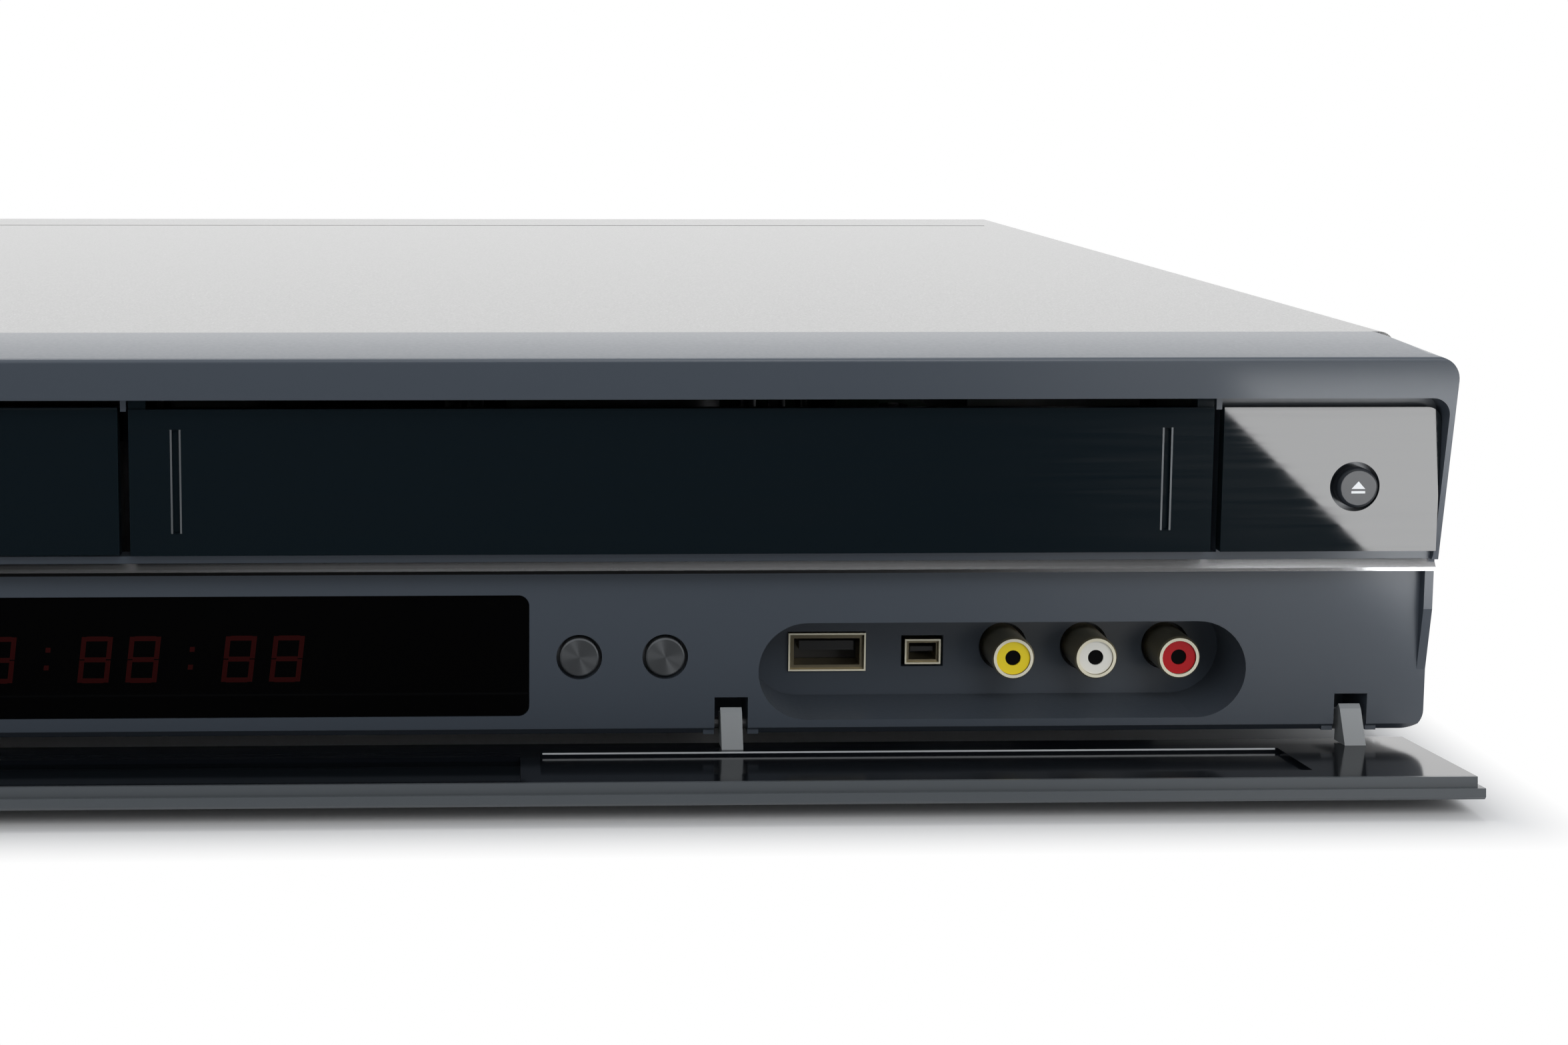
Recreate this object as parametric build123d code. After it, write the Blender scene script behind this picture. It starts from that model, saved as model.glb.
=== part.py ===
from build123d import *
import math
import os

# Combined disc and tape recorder on four feet, with its lower front flap let down.
# X runs along the front, Y from the front to the back, Z up. The origin lies on the
# table, under the middle of the whole recorder with the flap down. In this file every
# Y is first measured from the front of the bright trim line, and "place" moves it.

# ---- driving dimensions, mm ----
WIDTH = 430.0  # over the side cheeks
LID_TOP = 78.6  # top of the metal cover over the table
FOOT_HEIGHT = 6.0
BODY_DEPTH = 340.0  # trim line to the outside of the rear panel
CLEAR = 0.3  # running gap between separate moving pieces
SHEET = 1.0  # steel sheet of the pan and the rear panel
COVER_SHEET = 0.8  # steel sheet of the cover
WALL = 2.2  # moulded wall of the front
CHEEK = 1.0  # side wall of the front beside the upper panels

# front profile, seen from the side
NOSE_Y = -5.9  # foremost edge of the hood
NOSE_Z = 77.0
HOOD_BACK_Y = 21.0  # seam between the hood and the metal cover
HOOD_LOW_Z = 69.9  # lower edge of the hood's face
LOWER_Y = 3.1  # plane of the lower panel
BEZEL_LOW_Z = 6.9
FACE_LEAN = 0.1536  # how far the face falls back for each mm down
CORNER_R = 4.5  # upper corners, seen from the front
LOW_CORNER_R = 3.8

# upper row: tray front, tape door and the two end panels
UPPER_Y = -1.6  # plane of the glossy panels
UPPER_LOW_Z = 41.6
UPPER_TOP_Z = 67.8
PANEL_THICK = 2.2
TRAY_FRONT_LEFT = -172.8
TRAY_FRONT_RIGHT = -21.8
DOOR_LEFT = -19.9
DOOR_RIGHT = 172.8
END_PANEL_LEFT = 174.6
END_PANEL_RIGHT = 213.8
PANEL_CORNER_R = 2.5
OPENING_CORNER_R = 3.3
DOOR_PIVOT_Y = 0.2
DOOR_PIVOT_Z = 69.0
DOOR_PIN_R = 0.8
DOOR_EAR_R = 1.5

# trim line
TRIM_LOW_Z = 37.6
TRIM_TOP_Z = 39.7

# display
DISPLAY_LEFT = -75.0
DISPLAY_RIGHT = 50.65
DISPLAY_LOW_Z = 10.6
DISPLAY_TOP_Z = 33.0
DISPLAY_CORNER_R = 2.0
WINDOW_THICK = 2.0

# round buttons
BUTTON_R = 3.5
BUTTON_HOLE_R = 4.15
BUTTON_Z = 21.5
BUTTON_TRAVEL = 0.8
BUTTON_STEM_R = 1.6
RIGHT_BUTTON_X = (59.7, 75.3)  # source, resolution
LEFT_BUTTON_X = (-106.0, -121.6, -137.2)  # record, stop, play
EJECT_X = 198.6
EJECT_Z = 53.4
EJECT_R = 3.65
EJECT_HOLE_R = 4.5
EJECT_TRAVEL = 1.0
EJECT_PROUD = 1.5
TACT_GAP = 0.3  # between a stem and its switch at full travel

# jack recess
RECESS_LEFT = 92.3
RECESS_RIGHT = 181.8
RECESS_LOW_Z = 9.6
RECESS_TOP_Z = 27.6
RECESS_DEPTH = 15.0
RECESS_WALL = 1.6
JACK_X = (140.7, 156.2, 171.8)
JACK_Z = 18.8
JACK_R = 4.0
JACK_PIN_R = 1.45
JACK_INSERT_R = 3.15
JACK_LIP = 0.3  # bevel of the barrel's mouth
JACK_PROUD = 8.2
USB_X = 107.1
USB_Z = 18.0
USB_WIDTH = 12.5
USB_HEIGHT = 5.1
DV_X = 125.3
DV_Z = 18.0
DV_WIDTH = 5.2
DV_HEIGHT = 3.2
USB_FLARE = 1.1
DV_FLARE = 0.8
LIP_DEPTH = 0.8
SOCKET_SHEET = 0.4
SOCKET_BACK = 1.0
SOCKET_PROUD = 0.6  # mouths of the flat sockets, in front of the recess's back wall
TONGUE_BACK = 1.2
TONGUE_SHARE = 0.83

# flap, described as it lies open
FLAP_LEAN = 5.24  # degrees above the level when open
FLAP_PIVOT_Y = 6.4
FLAP_PIVOT_Z = 8.1
FLAP_REACH = 29.1  # pivot to free edge
FLAP_TAIL = 0.8  # past the pivot
FLAP_DROP = 3.6  # pivot to the inner face
FLAP_THICK = 3.8
FLAP_LIP = 1.8
FLAP_STEP = 0.9
LABEL_BED_DEPTH = 0.7
FLAP_SIDE_STEP = 1.0
FLAP_RIGHT = 214.0
FLAP_WINDOW_RIGHT = 49.0
FLAP_WINDOW_LEFT = -73.0
HINGE_X = (-201.4, -87.4, 87.4, 201.4)
HINGE_ARM = 3.9
HINGE_SLOT = 6.1
HINGE_SLOT_TOP = 13.9
HINGE_SLOT_BACK = 13.5
HINGE_PIN_R = 1.0
HINGE_RUN = 0.05

# disc drive; its middle follows the tray front
DRIVE_WIDTH = 148.0
DRIVE_LOW_Z = 30.0
DRIVE_TOP_Z = 67.0
DRIVE_FRONT_Y = 16.0
DRIVE_BACK_Y = 202.0
DRIVE_SHEET = 1.0
TRAY_WIDTH = 128.0
TRAY_THICK = 5.0
TRAY_TRAVEL = 141.0
TRAY_Z = 52.0  # underside of the tray plate
DISC_Y = 78.0  # middle of the disc with the tray in
DISC_R = 60.6
DISC_WELL = 1.6
SMALL_DISC_R = 41.0
SMALL_WELL = 2.8
PINION_TEETH = 18
PINION_MODULE = 1.0
PINION_Y = 27.0
PINION_PIN_R = 1.5
GEAR_THICK = 4.6
SLED_TRAVEL = 31.0

# tape deck
DECK_Z = 24.0
DECK_SHEET = 1.2
DECK_FRONT_Y = 34.0
DECK_BACK_Y = 262.0
CASSETTE_WIDTH = 188.4
CASSETTE_HEIGHT = 25.6
CAGE_FRONT_Y = 34.0
CAGE_DEPTH = 90.0
CAGE_LOW_Z = 41.5
CAGE_TRAVEL = 60.0
CAGE_DROP = 9.0
CAGE_SHEET = 0.8
HUB_SPACING = 92.5
DRUM_R = 31.0
DRUM_Y = 222.0
REEL_R = 20.0
RUN = 0.05  # radial clearance of a shaft in its bearing

# rear panel
REAR_PROUD = 9.0  # longest connector behind the rear panel
REAR_ROW_LOW = 22.0
REAR_ROW_HIGH = 38.0
REAR_JACK_PITCH = 15.0
FAN_SIZE = 40.0
FAN_X = -150.0
FAN_Z = 45.0
BOARD = 1.6
BOARD_Z = 14.0

# ---- places worked out from the driving dimensions ----
DRIVE_X = (TRAY_FRONT_LEFT + TRAY_FRONT_RIGHT) / 2
MIDDLE_X = (DOOR_LEFT + DOOR_RIGHT) / 2
FRONT_BOARD_Y = 13.0
LOWER_SWITCH_Y = 9.4
SWITCH_BOARD_Y = 10.0
SWITCH_FACE_Y = 7.6
JACK_BLOCK_Y = LOWER_Y + RECESS_DEPTH + RECESS_WALL + 0.3
JACK_BOARD_Y = 31.0
SOCKET_Y = LOWER_Y + RECESS_DEPTH - SOCKET_PROUD
CORE_Y = SOCKET_Y + 5.0
REAR_BLOCK_Y = 326.0
END_BUTTON_X = (-185.6, -202.0)
AERIAL_X = (140.0, 160.0)
AERIAL_Z = 36.0
HDMI_X = 98.0
HDMI_Z = 22.5
INLET_X = -95.0
INLET_Z = 26.0
REAR_SCREW_X = (-200.0, -20.0, 200.0)
REAR_SCREW_Z = 70.0
SIDE_SCREW_Y = (60.0, 300.0)
SIDE_SCREW_Z = 15.0
SCREW_R = 1.4
LOWER_PILLAR_X = (-146.0, -88.0, 67.5, 79.0)
BEAD_Y = 308.0
FAN_Y0 = BODY_DEPTH - SHEET - 10.0
PINION_X = DRIVE_X - 46.0
TRAY_BACK_Y = PINION_Y + TRAY_TRAVEL + 2.0
PINION_LOW_Z = TRAY_Z - GEAR_THICK
TRAVERSE_Z = 37.0
ROD_X = 18.0
ROD_Z = TRAVERSE_Z + 5.0
ROD_R = 1.5
SLED_Y = 98.0
BRIDGE_Z = 62.0
CAPSTAN_X = MIDDLE_X + 52.0
CAPSTAN_Y = 192.0
PINCH_X = CAPSTAN_X + 26.0
PINCH_Y = CAPSTAN_Y + 9.0
HUB_Y = 144.0
DECK_X0 = MIDDLE_X - CASSETTE_WIDTH / 2 - 3.4
DECK_X1 = MIDDLE_X + CASSETTE_WIDTH / 2 + 3.4
CARRIAGE_X0 = MIDDLE_X - CASSETTE_WIDTH / 2 - 1.9
CARRIAGE_X1 = MIDDLE_X + CASSETTE_WIDTH / 2 + 1.9
CAGE_TOP_Z = CAGE_LOW_Z + 2 * CAGE_SHEET + CASSETTE_HEIGHT
HALF = WIDTH / 2
FLOOR_Z = FOOT_HEIGHT + 1.2  # underside of the pan
LOWER_ROOF_Z = 35.6
COS_LEAN = math.cos(math.radians(FLAP_LEAN))
SIN_LEAN = math.sin(math.radians(FLAP_LEAN))


def flap_point(along, below):
    """Y and Z of a point of the open flap, from its pivot."""
    y = FLAP_PIVOT_Y - along * COS_LEAN - below * SIN_LEAN
    z = FLAP_PIVOT_Z + along * SIN_LEAN - below * COS_LEAN
    return y, z


FLAP_FRONT_Y = flap_point(FLAP_REACH, FLAP_DROP + FLAP_THICK)[0]
REAR_Y = BODY_DEPTH + REAR_PROUD
SHIFT_Y = -(FLAP_FRONT_Y + REAR_Y) / 2  # from trim line to row frame


# ---- helpers ----
def block(x0, x1, y0, y1, z0, z1):
    return Pos((x0 + x1) / 2, (y0 + y1) / 2, (z0 + z1) / 2) * Box(x1 - x0, y1 - y0, z1 - z0)


def rod_x(x0, x1, y, z, radius):
    return Pos((x0 + x1) / 2, y, z) * Rot(0, 90, 0) * Cylinder(radius, x1 - x0)


def rod_y(x, y0, y1, z, radius):
    return Pos(x, (y0 + y1) / 2, z) * Rot(90, 0, 0) * Cylinder(radius, y1 - y0)


def rod_z(x, y, z0, z1, radius):
    return Pos(x, y, (z0 + z1) / 2) * Cylinder(radius, z1 - z0)


def plate_y(x0, x1, z0, z1, y0, y1, radius):
    """Plate standing across Y with its four corners rounded."""
    face = RectangleRounded(x1 - x0, z1 - z0, radius)
    plane = Plane(((x0 + x1) / 2, y0, (z0 + z1) / 2), x_dir=(1, 0, 0), z_dir=(0, 1, 0))
    return extrude(plane * face, y1 - y0)


def side_profile(points, x0, x1):
    """Closed outline in Y and Z, carried along X."""
    outline = Plane.YZ * make_face(Polyline(*points, close=True))
    return Pos(x0, 0, 0) * extrude(outline, x1 - x0)


def copies(shape, places):
    return Compound(children=[Pos(*place) * shape for place in places])


def joined(shapes):
    whole = shapes[0]
    for shape in shapes[1:]:
        whole = whole + shape
    return whole


PARTS = {}


def face_y(z):
    """Y of the leaning face at a height."""
    return NOSE_Y + (NOSE_Z - z) * FACE_LEAN


def corner_cut(side, start, end, radius, up):
    """What is cut off to round a long corner that runs from start to end in Y and Z."""
    run = math.dist(start, end)
    slope = Vector(0, (end[0] - start[0]) / run, (end[1] - start[1]) / run)
    plane = Plane((side * HALF, start[0], start[1]), x_dir=(-side, 0, 0), z_dir=tuple(slope))
    inward = 1 if (plane.y_dir.Z > 0) != (up > 0) else -1
    square = Pos(radius / 2 - 1, inward * (radius / 2 - 1)) * Rectangle(radius + 2, radius + 2)
    round_part = Pos(radius, inward * radius) * Circle(radius)
    keep_part = Pos(radius, inward * radius) * Rectangle(2 * radius, 2 * radius)
    face = square - (round_part & keep_part)
    return Pos(0, -10 * slope.Y, -10 * slope.Z) * extrude(plane * face, run + 12)


# ---- front moulding ----
def bezel_outline():
    """Side outline of the moulding: hood, leaning face, lower panel."""
    lean_end_z = NOSE_Z - (LOWER_Y - NOSE_Y) / FACE_LEAN
    band = ThreePointArc((HOOD_BACK_Y, LID_TOP), (8.0, LID_TOP - 0.25), (NOSE_Y + 0.9, NOSE_Z + 0.35))
    nose = ThreePointArc(
        (NOSE_Y + 0.9, NOSE_Z + 0.35), (NOSE_Y + 0.25, NOSE_Z + 0.05), (NOSE_Y + 0.1, NOSE_Z - 0.65)
    )
    rest = Polyline(
        (NOSE_Y + 0.1, NOSE_Z - 0.65),
        (LOWER_Y, lean_end_z),
        (LOWER_Y, BEZEL_LOW_Z + 1.3),
        (LOWER_Y + 1.3, BEZEL_LOW_Z),
        (HOOD_BACK_Y, BEZEL_LOW_Z),
        (HOOD_BACK_Y, LID_TOP),
    )
    return make_face([band, nose, rest])


def front_bezel():
    solid = extrude(Plane.YZ * bezel_outline(), HALF, both=True)
    for side in (-1, 1):
        solid -= corner_cut(side, (NOSE_Y, NOSE_Z + 0.45), (HOOD_BACK_Y, LID_TOP), CORNER_R, 1)
        solid -= corner_cut(side, (NOSE_Y, BEZEL_LOW_Z), (HOOD_BACK_Y, BEZEL_LOW_Z), LOW_CORNER_R, -1)
    # hollow behind the face
    solid -= block(-HALF + 1.6, HALF - 1.6, LOWER_Y + WALL, HOOD_BACK_Y + 1, BEZEL_LOW_Z + WALL, LOWER_ROOF_Z)
    solid -= block(-HALF + 1.6, HALF - 1.6, 4.4, HOOD_BACK_Y + 1, LOWER_ROOF_Z - 0.01, LID_TOP - 3.0)
    # upper row opening, in front of and through the face
    solid -= plate_y(
        -HALF + CHEEK, HALF - CHEEK, TRIM_LOW_Z, HOOD_LOW_Z, -20, UPPER_Y + PANEL_THICK + 0.2, OPENING_CORNER_R
    )
    solid -= block(
        TRAY_FRONT_LEFT - 0.6, END_PANEL_LEFT + 0.1, -20, HOOD_BACK_Y + 1, UPPER_LOW_Z - 0.6, HOOD_LOW_Z
    )
    # pivot space of the tape door behind the hood's lip
    solid -= block(DOOR_LEFT - 1.5, DOOR_RIGHT + 1.5, -1.8, HOOD_BACK_Y + 1, HOOD_LOW_Z - 1, HOOD_LOW_Z + 3.2)
    # trim seat and lower panel plane
    solid -= block(-HALF - 1, HALF + 1, -20, 1.2, TRIM_LOW_Z, TRIM_TOP_Z)
    solid -= block(-HALF + 1.6, HALF - 1.6, -20, LOWER_Y, BEZEL_LOW_Z - 1, TRIM_LOW_Z)
    # display opening, button holes, jack recess
    solid -= plate_y(
        DISPLAY_LEFT, DISPLAY_RIGHT, DISPLAY_LOW_Z, DISPLAY_TOP_Z, 0, LOWER_Y + WALL + 1, DISPLAY_CORNER_R
    )
    for x in RIGHT_BUTTON_X + LEFT_BUTTON_X:
        solid -= rod_y(x, 0, LOWER_Y + WALL + 1, BUTTON_Z, BUTTON_HOLE_R)
    recess_r = (RECESS_TOP_Z - RECESS_LOW_Z) / 2 - 0.01
    back = LOWER_Y + RECESS_DEPTH
    solid += plate_y(
        RECESS_LEFT - RECESS_WALL,
        RECESS_RIGHT + RECESS_WALL,
        RECESS_LOW_Z - RECESS_WALL,
        RECESS_TOP_Z + RECESS_WALL,
        LOWER_Y + 0.5,
        back + RECESS_WALL,
        recess_r + RECESS_WALL,
    )
    solid -= plate_y(RECESS_LEFT, RECESS_RIGHT, RECESS_LOW_Z, RECESS_TOP_Z, 0, back, recess_r)
    for x in JACK_X:
        solid -= rod_y(x, back - 1, back + RECESS_WALL + 1, JACK_Z, JACK_R + 0.6)
    solid -= block(
        USB_X - 7.4, USB_X + 7.4, back - 1, back + RECESS_WALL + 1, USB_Z - 3.8, USB_Z + 3.8
    )
    solid -= block(DV_X - 4.0, DV_X + 4.0, back - 1, back + RECESS_WALL + 1, DV_Z - 3.0, DV_Z + 3.0)
    # hinge pockets
    for x in HINGE_X:
        half = HINGE_SLOT / 2
        solid += block(
            x - half - 2, x + half + 2, LOWER_Y + 0.5, HINGE_SLOT_BACK + 1.5, BEZEL_LOW_Z, HINGE_SLOT_TOP + 1.5
        )
        solid -= block(x - half, x + half, 0, HINGE_SLOT_BACK, 0, HINGE_SLOT_TOP)
        solid -= rod_x(x - half - 1.5, x + half + 1.5, FLAP_PIVOT_Y, FLAP_PIVOT_Z, HINGE_PIN_R)
    # pillars of the boards, stem holes of the end buttons
    for x in LOWER_PILLAR_X:
        solid += rod_y(x, LOWER_Y + WALL - 0.2, FRONT_BOARD_Y, 31.8, 2.4)
    for x, z in ((97.0, 24.0), (118.0, 24.4)):
        solid += rod_y(x, back + 0.5, JACK_BOARD_Y, z, 2.0)
    for x in (-208.0, -179.0, 179.0, 208.0):
        solid += rod_y(x, 4.2, SWITCH_BOARD_Y, 60.0, 2.0)
    for x in (EJECT_X,) + END_BUTTON_X:
        solid -= rod_y(x, 0, 5, EJECT_Z, BUTTON_STEM_R + 0.4)
    # room for the outer leaf of the closed flap beside the lower panel
    solid -= block(-HALF - 1, HALF + 1, -20, 1.3, BEZEL_LOW_Z, TRIM_LOW_Z)
    # pivot ears that carry the tape door
    for x0, x1 in ((DOOR_LEFT - 1.4, DOOR_LEFT - 0.4), (DOOR_RIGHT + 0.4, DOOR_RIGHT + 1.4)):
        ear = block(x0, x1, DOOR_PIVOT_Y - 1.6, DOOR_PIVOT_Y + 6, DOOR_PIVOT_Z - 1.6, HOOD_LOW_Z + 3.4)
        ear -= rod_x(x0 - 1, x1 + 1, DOOR_PIVOT_Y, DOOR_PIVOT_Z, DOOR_PIN_R + HINGE_RUN)
        solid += ear
    return solid


def chrome_trim():
    end = HALF - 0.3
    outline = [(0, TRIM_LOW_Z), (1.2, TRIM_LOW_Z), (1.2, TRIM_TOP_Z), (0.9, TRIM_TOP_Z), (0, TRIM_TOP_Z - 1.5)]
    return side_profile(outline, -end, end)


def end_panel(side, button_places):
    """Glossy panel at one end of the upper row."""
    x0, x1 = sorted((side * END_PANEL_LEFT, side * END_PANEL_RIGHT))
    panel = block(x0, x1, UPPER_Y, UPPER_Y + PANEL_THICK + 0.2, UPPER_LOW_Z, UPPER_TOP_Z)
    corner = [
        e
        for e in panel.edges().filter_by(Axis.Y)
        if e.center().Z > UPPER_TOP_Z - 1 and abs(e.center().X) > END_PANEL_RIGHT - 1
    ]
    panel = fillet(corner, PANEL_CORNER_R)
    for x in button_places:
        panel -= rod_y(x, UPPER_Y - 1, UPPER_Y + PANEL_THICK + 1, EJECT_Z, EJECT_HOLE_R)
    return panel


def end_button(x):
    """Domed round button of an end panel, with its stem."""
    face = UPPER_Y - EJECT_PROUD
    cap = rod_y(x, face, -0.5, EJECT_Z, EJECT_R)
    front = cap.faces().sort_by(Axis.Y)[0]
    cap = fillet(front.edges(), 0.6)
    stem = rod_y(x, -0.5, SWITCH_FACE_Y - EJECT_TRAVEL - TACT_GAP, EJECT_Z, BUTTON_STEM_R)
    return cap + stem


def round_button(x):
    """Flat spun-metal button of the lower panel, with its stem."""
    cap = rod_y(x, LOWER_Y - 0.3, LOWER_Y + 2.6, BUTTON_Z, BUTTON_R)
    front = cap.faces().sort_by(Axis.Y)[0]
    cap = chamfer(front.edges(), 0.25)
    flange = rod_y(x, LOWER_Y + WALL + 0.2, LOWER_Y + WALL + 1.0, BUTTON_Z, BUTTON_HOLE_R + 0.8)
    stem = rod_y(x, LOWER_Y + 2.6, LOWER_SWITCH_Y - BUTTON_TRAVEL - TACT_GAP, BUTTON_Z, BUTTON_STEM_R)
    return cap + flange + stem


def display_window():
    window = plate_y(
        DISPLAY_LEFT + 0.1,
        DISPLAY_RIGHT - 0.1,
        DISPLAY_LOW_Z + 0.1,
        DISPLAY_TOP_Z - 0.1,
        LOWER_Y + 0.1,
        LOWER_Y + WALL + 0.3,
        DISPLAY_CORNER_R,
    )
    flange = block(
        DISPLAY_LEFT - 1.5,
        DISPLAY_RIGHT + 1.5,
        LOWER_Y + WALL,
        LOWER_Y + WALL + 1.0,
        DISPLAY_LOW_Z - 1.2,
        DISPLAY_TOP_Z + 1.2,
    )
    return window + flange


def display_tube():
    y0 = LOWER_Y + WALL + 1.3
    glass = block(DISPLAY_LEFT + 3, DISPLAY_RIGHT - 3, y0, FRONT_BOARD_Y, DISPLAY_LOW_Z + 1, DISPLAY_TOP_Z - 1)
    tip = rod_x(DISPLAY_LEFT - 1, DISPLAY_LEFT + 3, y0 + 3, BUTTON_Z, 1.5)
    return glass + tip


def tape_door():
    """Flap over the cassette mouth, hung from two ears at its top."""
    low, top = UPPER_LOW_Z, UPPER_TOP_Z
    door = block(DOOR_LEFT, DOOR_RIGHT, UPPER_Y, UPPER_Y + PANEL_THICK, low, top)
    for x in (DOOR_LEFT + 8.2, DOOR_RIGHT - 8.3):
        door -= plate_y(x - 0.72, x + 0.72, low + 4, low + 22.5, UPPER_Y - 1, UPPER_Y + 0.7, 0.7)
        door -= plate_y(x - 0.95, x + 0.95, low + 3.8, low + 22.7, UPPER_Y - 1, UPPER_Y + 0.15, 0.9)
    for x0, x1 in ((DOOR_LEFT, DOOR_LEFT + 3), (DOOR_RIGHT - 3, DOOR_RIGHT)):
        ear = block(x0, x1, UPPER_Y + 0.3, DOOR_PIVOT_Y + DOOR_EAR_R, top - 0.2, DOOR_PIVOT_Z)
        ear += rod_x(x0, x1, DOOR_PIVOT_Y, DOOR_PIVOT_Z, DOOR_EAR_R)
        door += ear
    door += rod_x(DOOR_LEFT - 1.4, DOOR_LEFT + 0.5, DOOR_PIVOT_Y, DOOR_PIVOT_Z, DOOR_PIN_R)
    door += rod_x(DOOR_RIGHT - 0.5, DOOR_RIGHT + 1.4, DOOR_PIVOT_Y, DOOR_PIVOT_Z, DOOR_PIN_R)
    return door


# ---- flap ----
def flap_box(x0, x1, near, far, top, below):
    """Block on the open flap: near and far are along it, top and below from the pivot."""
    corners = [flap_point(near, top), flap_point(far, top), flap_point(far, below), flap_point(near, below)]
    return side_profile(corners, x0, x1)


def flap():
    inner = FLAP_DROP
    outer = FLAP_DROP + FLAP_THICK
    lip = FLAP_DROP + FLAP_LIP
    step = FLAP_REACH - FLAP_STEP
    right = FLAP_RIGHT
    inner_leaf = [
        flap_point(-FLAP_TAIL, inner),
        flap_point(step, inner),
        flap_point(step, lip),
        flap_point(-FLAP_TAIL, lip),
    ]
    outer_leaf = [
        flap_point(-FLAP_TAIL, lip),
        flap_point(FLAP_REACH, lip),
        flap_point(FLAP_REACH, outer - 0.5),
        flap_point(FLAP_REACH - 0.5, outer),
        flap_point(1.6, outer),
        flap_point(-FLAP_TAIL, outer - 2.0 + 0.4),
    ]
    plate = side_profile(inner_leaf, -right + FLAP_SIDE_STEP, right - FLAP_SIDE_STEP)
    plate += side_profile(outer_leaf, -right, right)
    # shallow label bed on the right, hinge strip near the pivot, window seat on the left
    plate -= flap_box(FLAP_WINDOW_RIGHT + 3.5, 186.5, 7.2, 23.0, inner - 1, inner + LABEL_BED_DEPTH)
    plate -= flap_box(HINGE_X[0] + 2, HINGE_X[3] + 0.6, -FLAP_TAIL - 1, 4.4, inner - 1, inner + 0.3)
    plate -= flap_box(FLAP_WINDOW_LEFT, FLAP_WINDOW_RIGHT, 10.0, FLAP_REACH - 2.5, inner - 1, outer + 1)
    for z_low in (1.4, 3.0):
        rib = flap_box(FLAP_WINDOW_LEFT, FLAP_WINDOW_RIGHT, 4.9 + z_low, 5.5 + z_low, inner - 1, inner + 0.35)
        plate -= rib
    return plate


def flap_window():
    plate = flap_box(
        FLAP_WINDOW_LEFT + 0.05,
        FLAP_WINDOW_RIGHT - 0.05,
        10.05,
        FLAP_REACH - 2.55,
        FLAP_DROP + 0.8,
        FLAP_DROP + FLAP_THICK,
    )
    return plate


def flap_arms():
    """Four cranked arms that carry the flap, each turning on its own pin."""
    y0, z0 = FLAP_PIVOT_Y, FLAP_PIVOT_Z
    arms = []
    foot_near = flap_point(1.0, FLAP_DROP)
    foot_far = flap_point(5.8, FLAP_DROP)
    for x in HINGE_X:
        outline = [
            foot_far,
            (y0 - 3.35, z0 + 3.0),
            (y0 - 2.6, z0 + 3.7),
            (y0 - 1.2, z0 + 2.3),
            (y0, z0 + 2.2),
            (y0 + 1.9, z0),
            (y0, z0 - 1.9),
            (y0 - 1.5, z0 - 1.0),
            foot_near,
        ]
        arm = side_profile(outline, x - HINGE_ARM / 2, x + HINGE_ARM / 2)
        arm -= rod_x(x - HINGE_ARM, x + HINGE_ARM, y0, z0, HINGE_PIN_R + HINGE_RUN)
        arms.append(arm)
    return Compound(children=arms)


def hinge_pins():
    half = HINGE_SLOT / 2 + 1.5
    return Compound(
        children=[rod_x(x - half, x + half, FLAP_PIVOT_Y, FLAP_PIVOT_Z, HINGE_PIN_R) for x in HINGE_X]
    )


# ---- sockets ----
def jack_ring(radius, inner, y0, y1, x, z):
    return rod_y(x, y0, y1, z, radius) - rod_y(x, y0 - 1, y1 + 1, z, inner)


def jack_barrel(y0, y1, x, z, mouth):
    """Barrel of a round socket; mouth is 0 for an end in front, -1 for one at the back."""
    barrel = jack_ring(JACK_R, JACK_INSERT_R, y0, y1, x, z)
    return chamfer(barrel.faces().sort_by(Axis.Y)[mouth].edges(), JACK_LIP)


def front_jack_y():
    return LOWER_Y + RECESS_DEPTH - JACK_PROUD


def rear_jack_places():
    """Name of the insert colour, with X and Z, for each round socket at the back."""
    colours = (
        ("yellow", "white", "red"),
        ("yellow", "white", "red"),
        ("green", "blue", "red"),
    )
    places = []
    for column, trio in enumerate(colours):
        for row, colour in enumerate(trio):
            places.append((colour, 30 + column * 18.0, 20.5 + (2 - row) * REAR_JACK_PITCH))
    return places


def jack_shells():
    y0 = front_jack_y()
    shells = [jack_barrel(y0, JACK_BLOCK_Y + 2, x, JACK_Z, 0) for x in JACK_X]
    for _, x, z in rear_jack_places():
        shells.append(jack_barrel(REAR_BLOCK_Y + 2, REAR_Y, x, z, -1))
    return Compound(children=shells)


def jack_inserts(colours):
    """Coloured inner rings, front and back, of the colours named."""
    front = {"yellow": JACK_X[0], "white": JACK_X[1], "red": JACK_X[2]}
    rings = []
    for colour, x in front.items():
        if colour in colours:
            y0 = front_jack_y() + JACK_LIP + 0.1
            rings.append(jack_ring(JACK_INSERT_R, JACK_PIN_R, y0, JACK_BLOCK_Y + 2, x, JACK_Z))
    for name, x, z in rear_jack_places():
        if name in colours:
            rings.append(jack_ring(JACK_INSERT_R, JACK_PIN_R, REAR_BLOCK_Y + 2, REAR_Y - JACK_LIP - 0.1, x, z))
    return Compound(children=rings)


def socket_core(x, z, width, height, tongue_z, tongue_height):
    """Insulating block at the back of a flat socket, with its contact tongue."""
    y1 = JACK_BOARD_Y - SOCKET_BACK
    core = block(x - width / 2 + 0.05, x + width / 2 - 0.05, CORE_Y, y1, z - height / 2 + 0.05, z + height / 2 - 0.05)
    reach = width / 2 * TONGUE_SHARE
    tongue = block(x - reach, x + reach, SOCKET_Y + TONGUE_BACK, CORE_Y, tongue_z, tongue_z + tongue_height)
    return core + tongue


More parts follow.
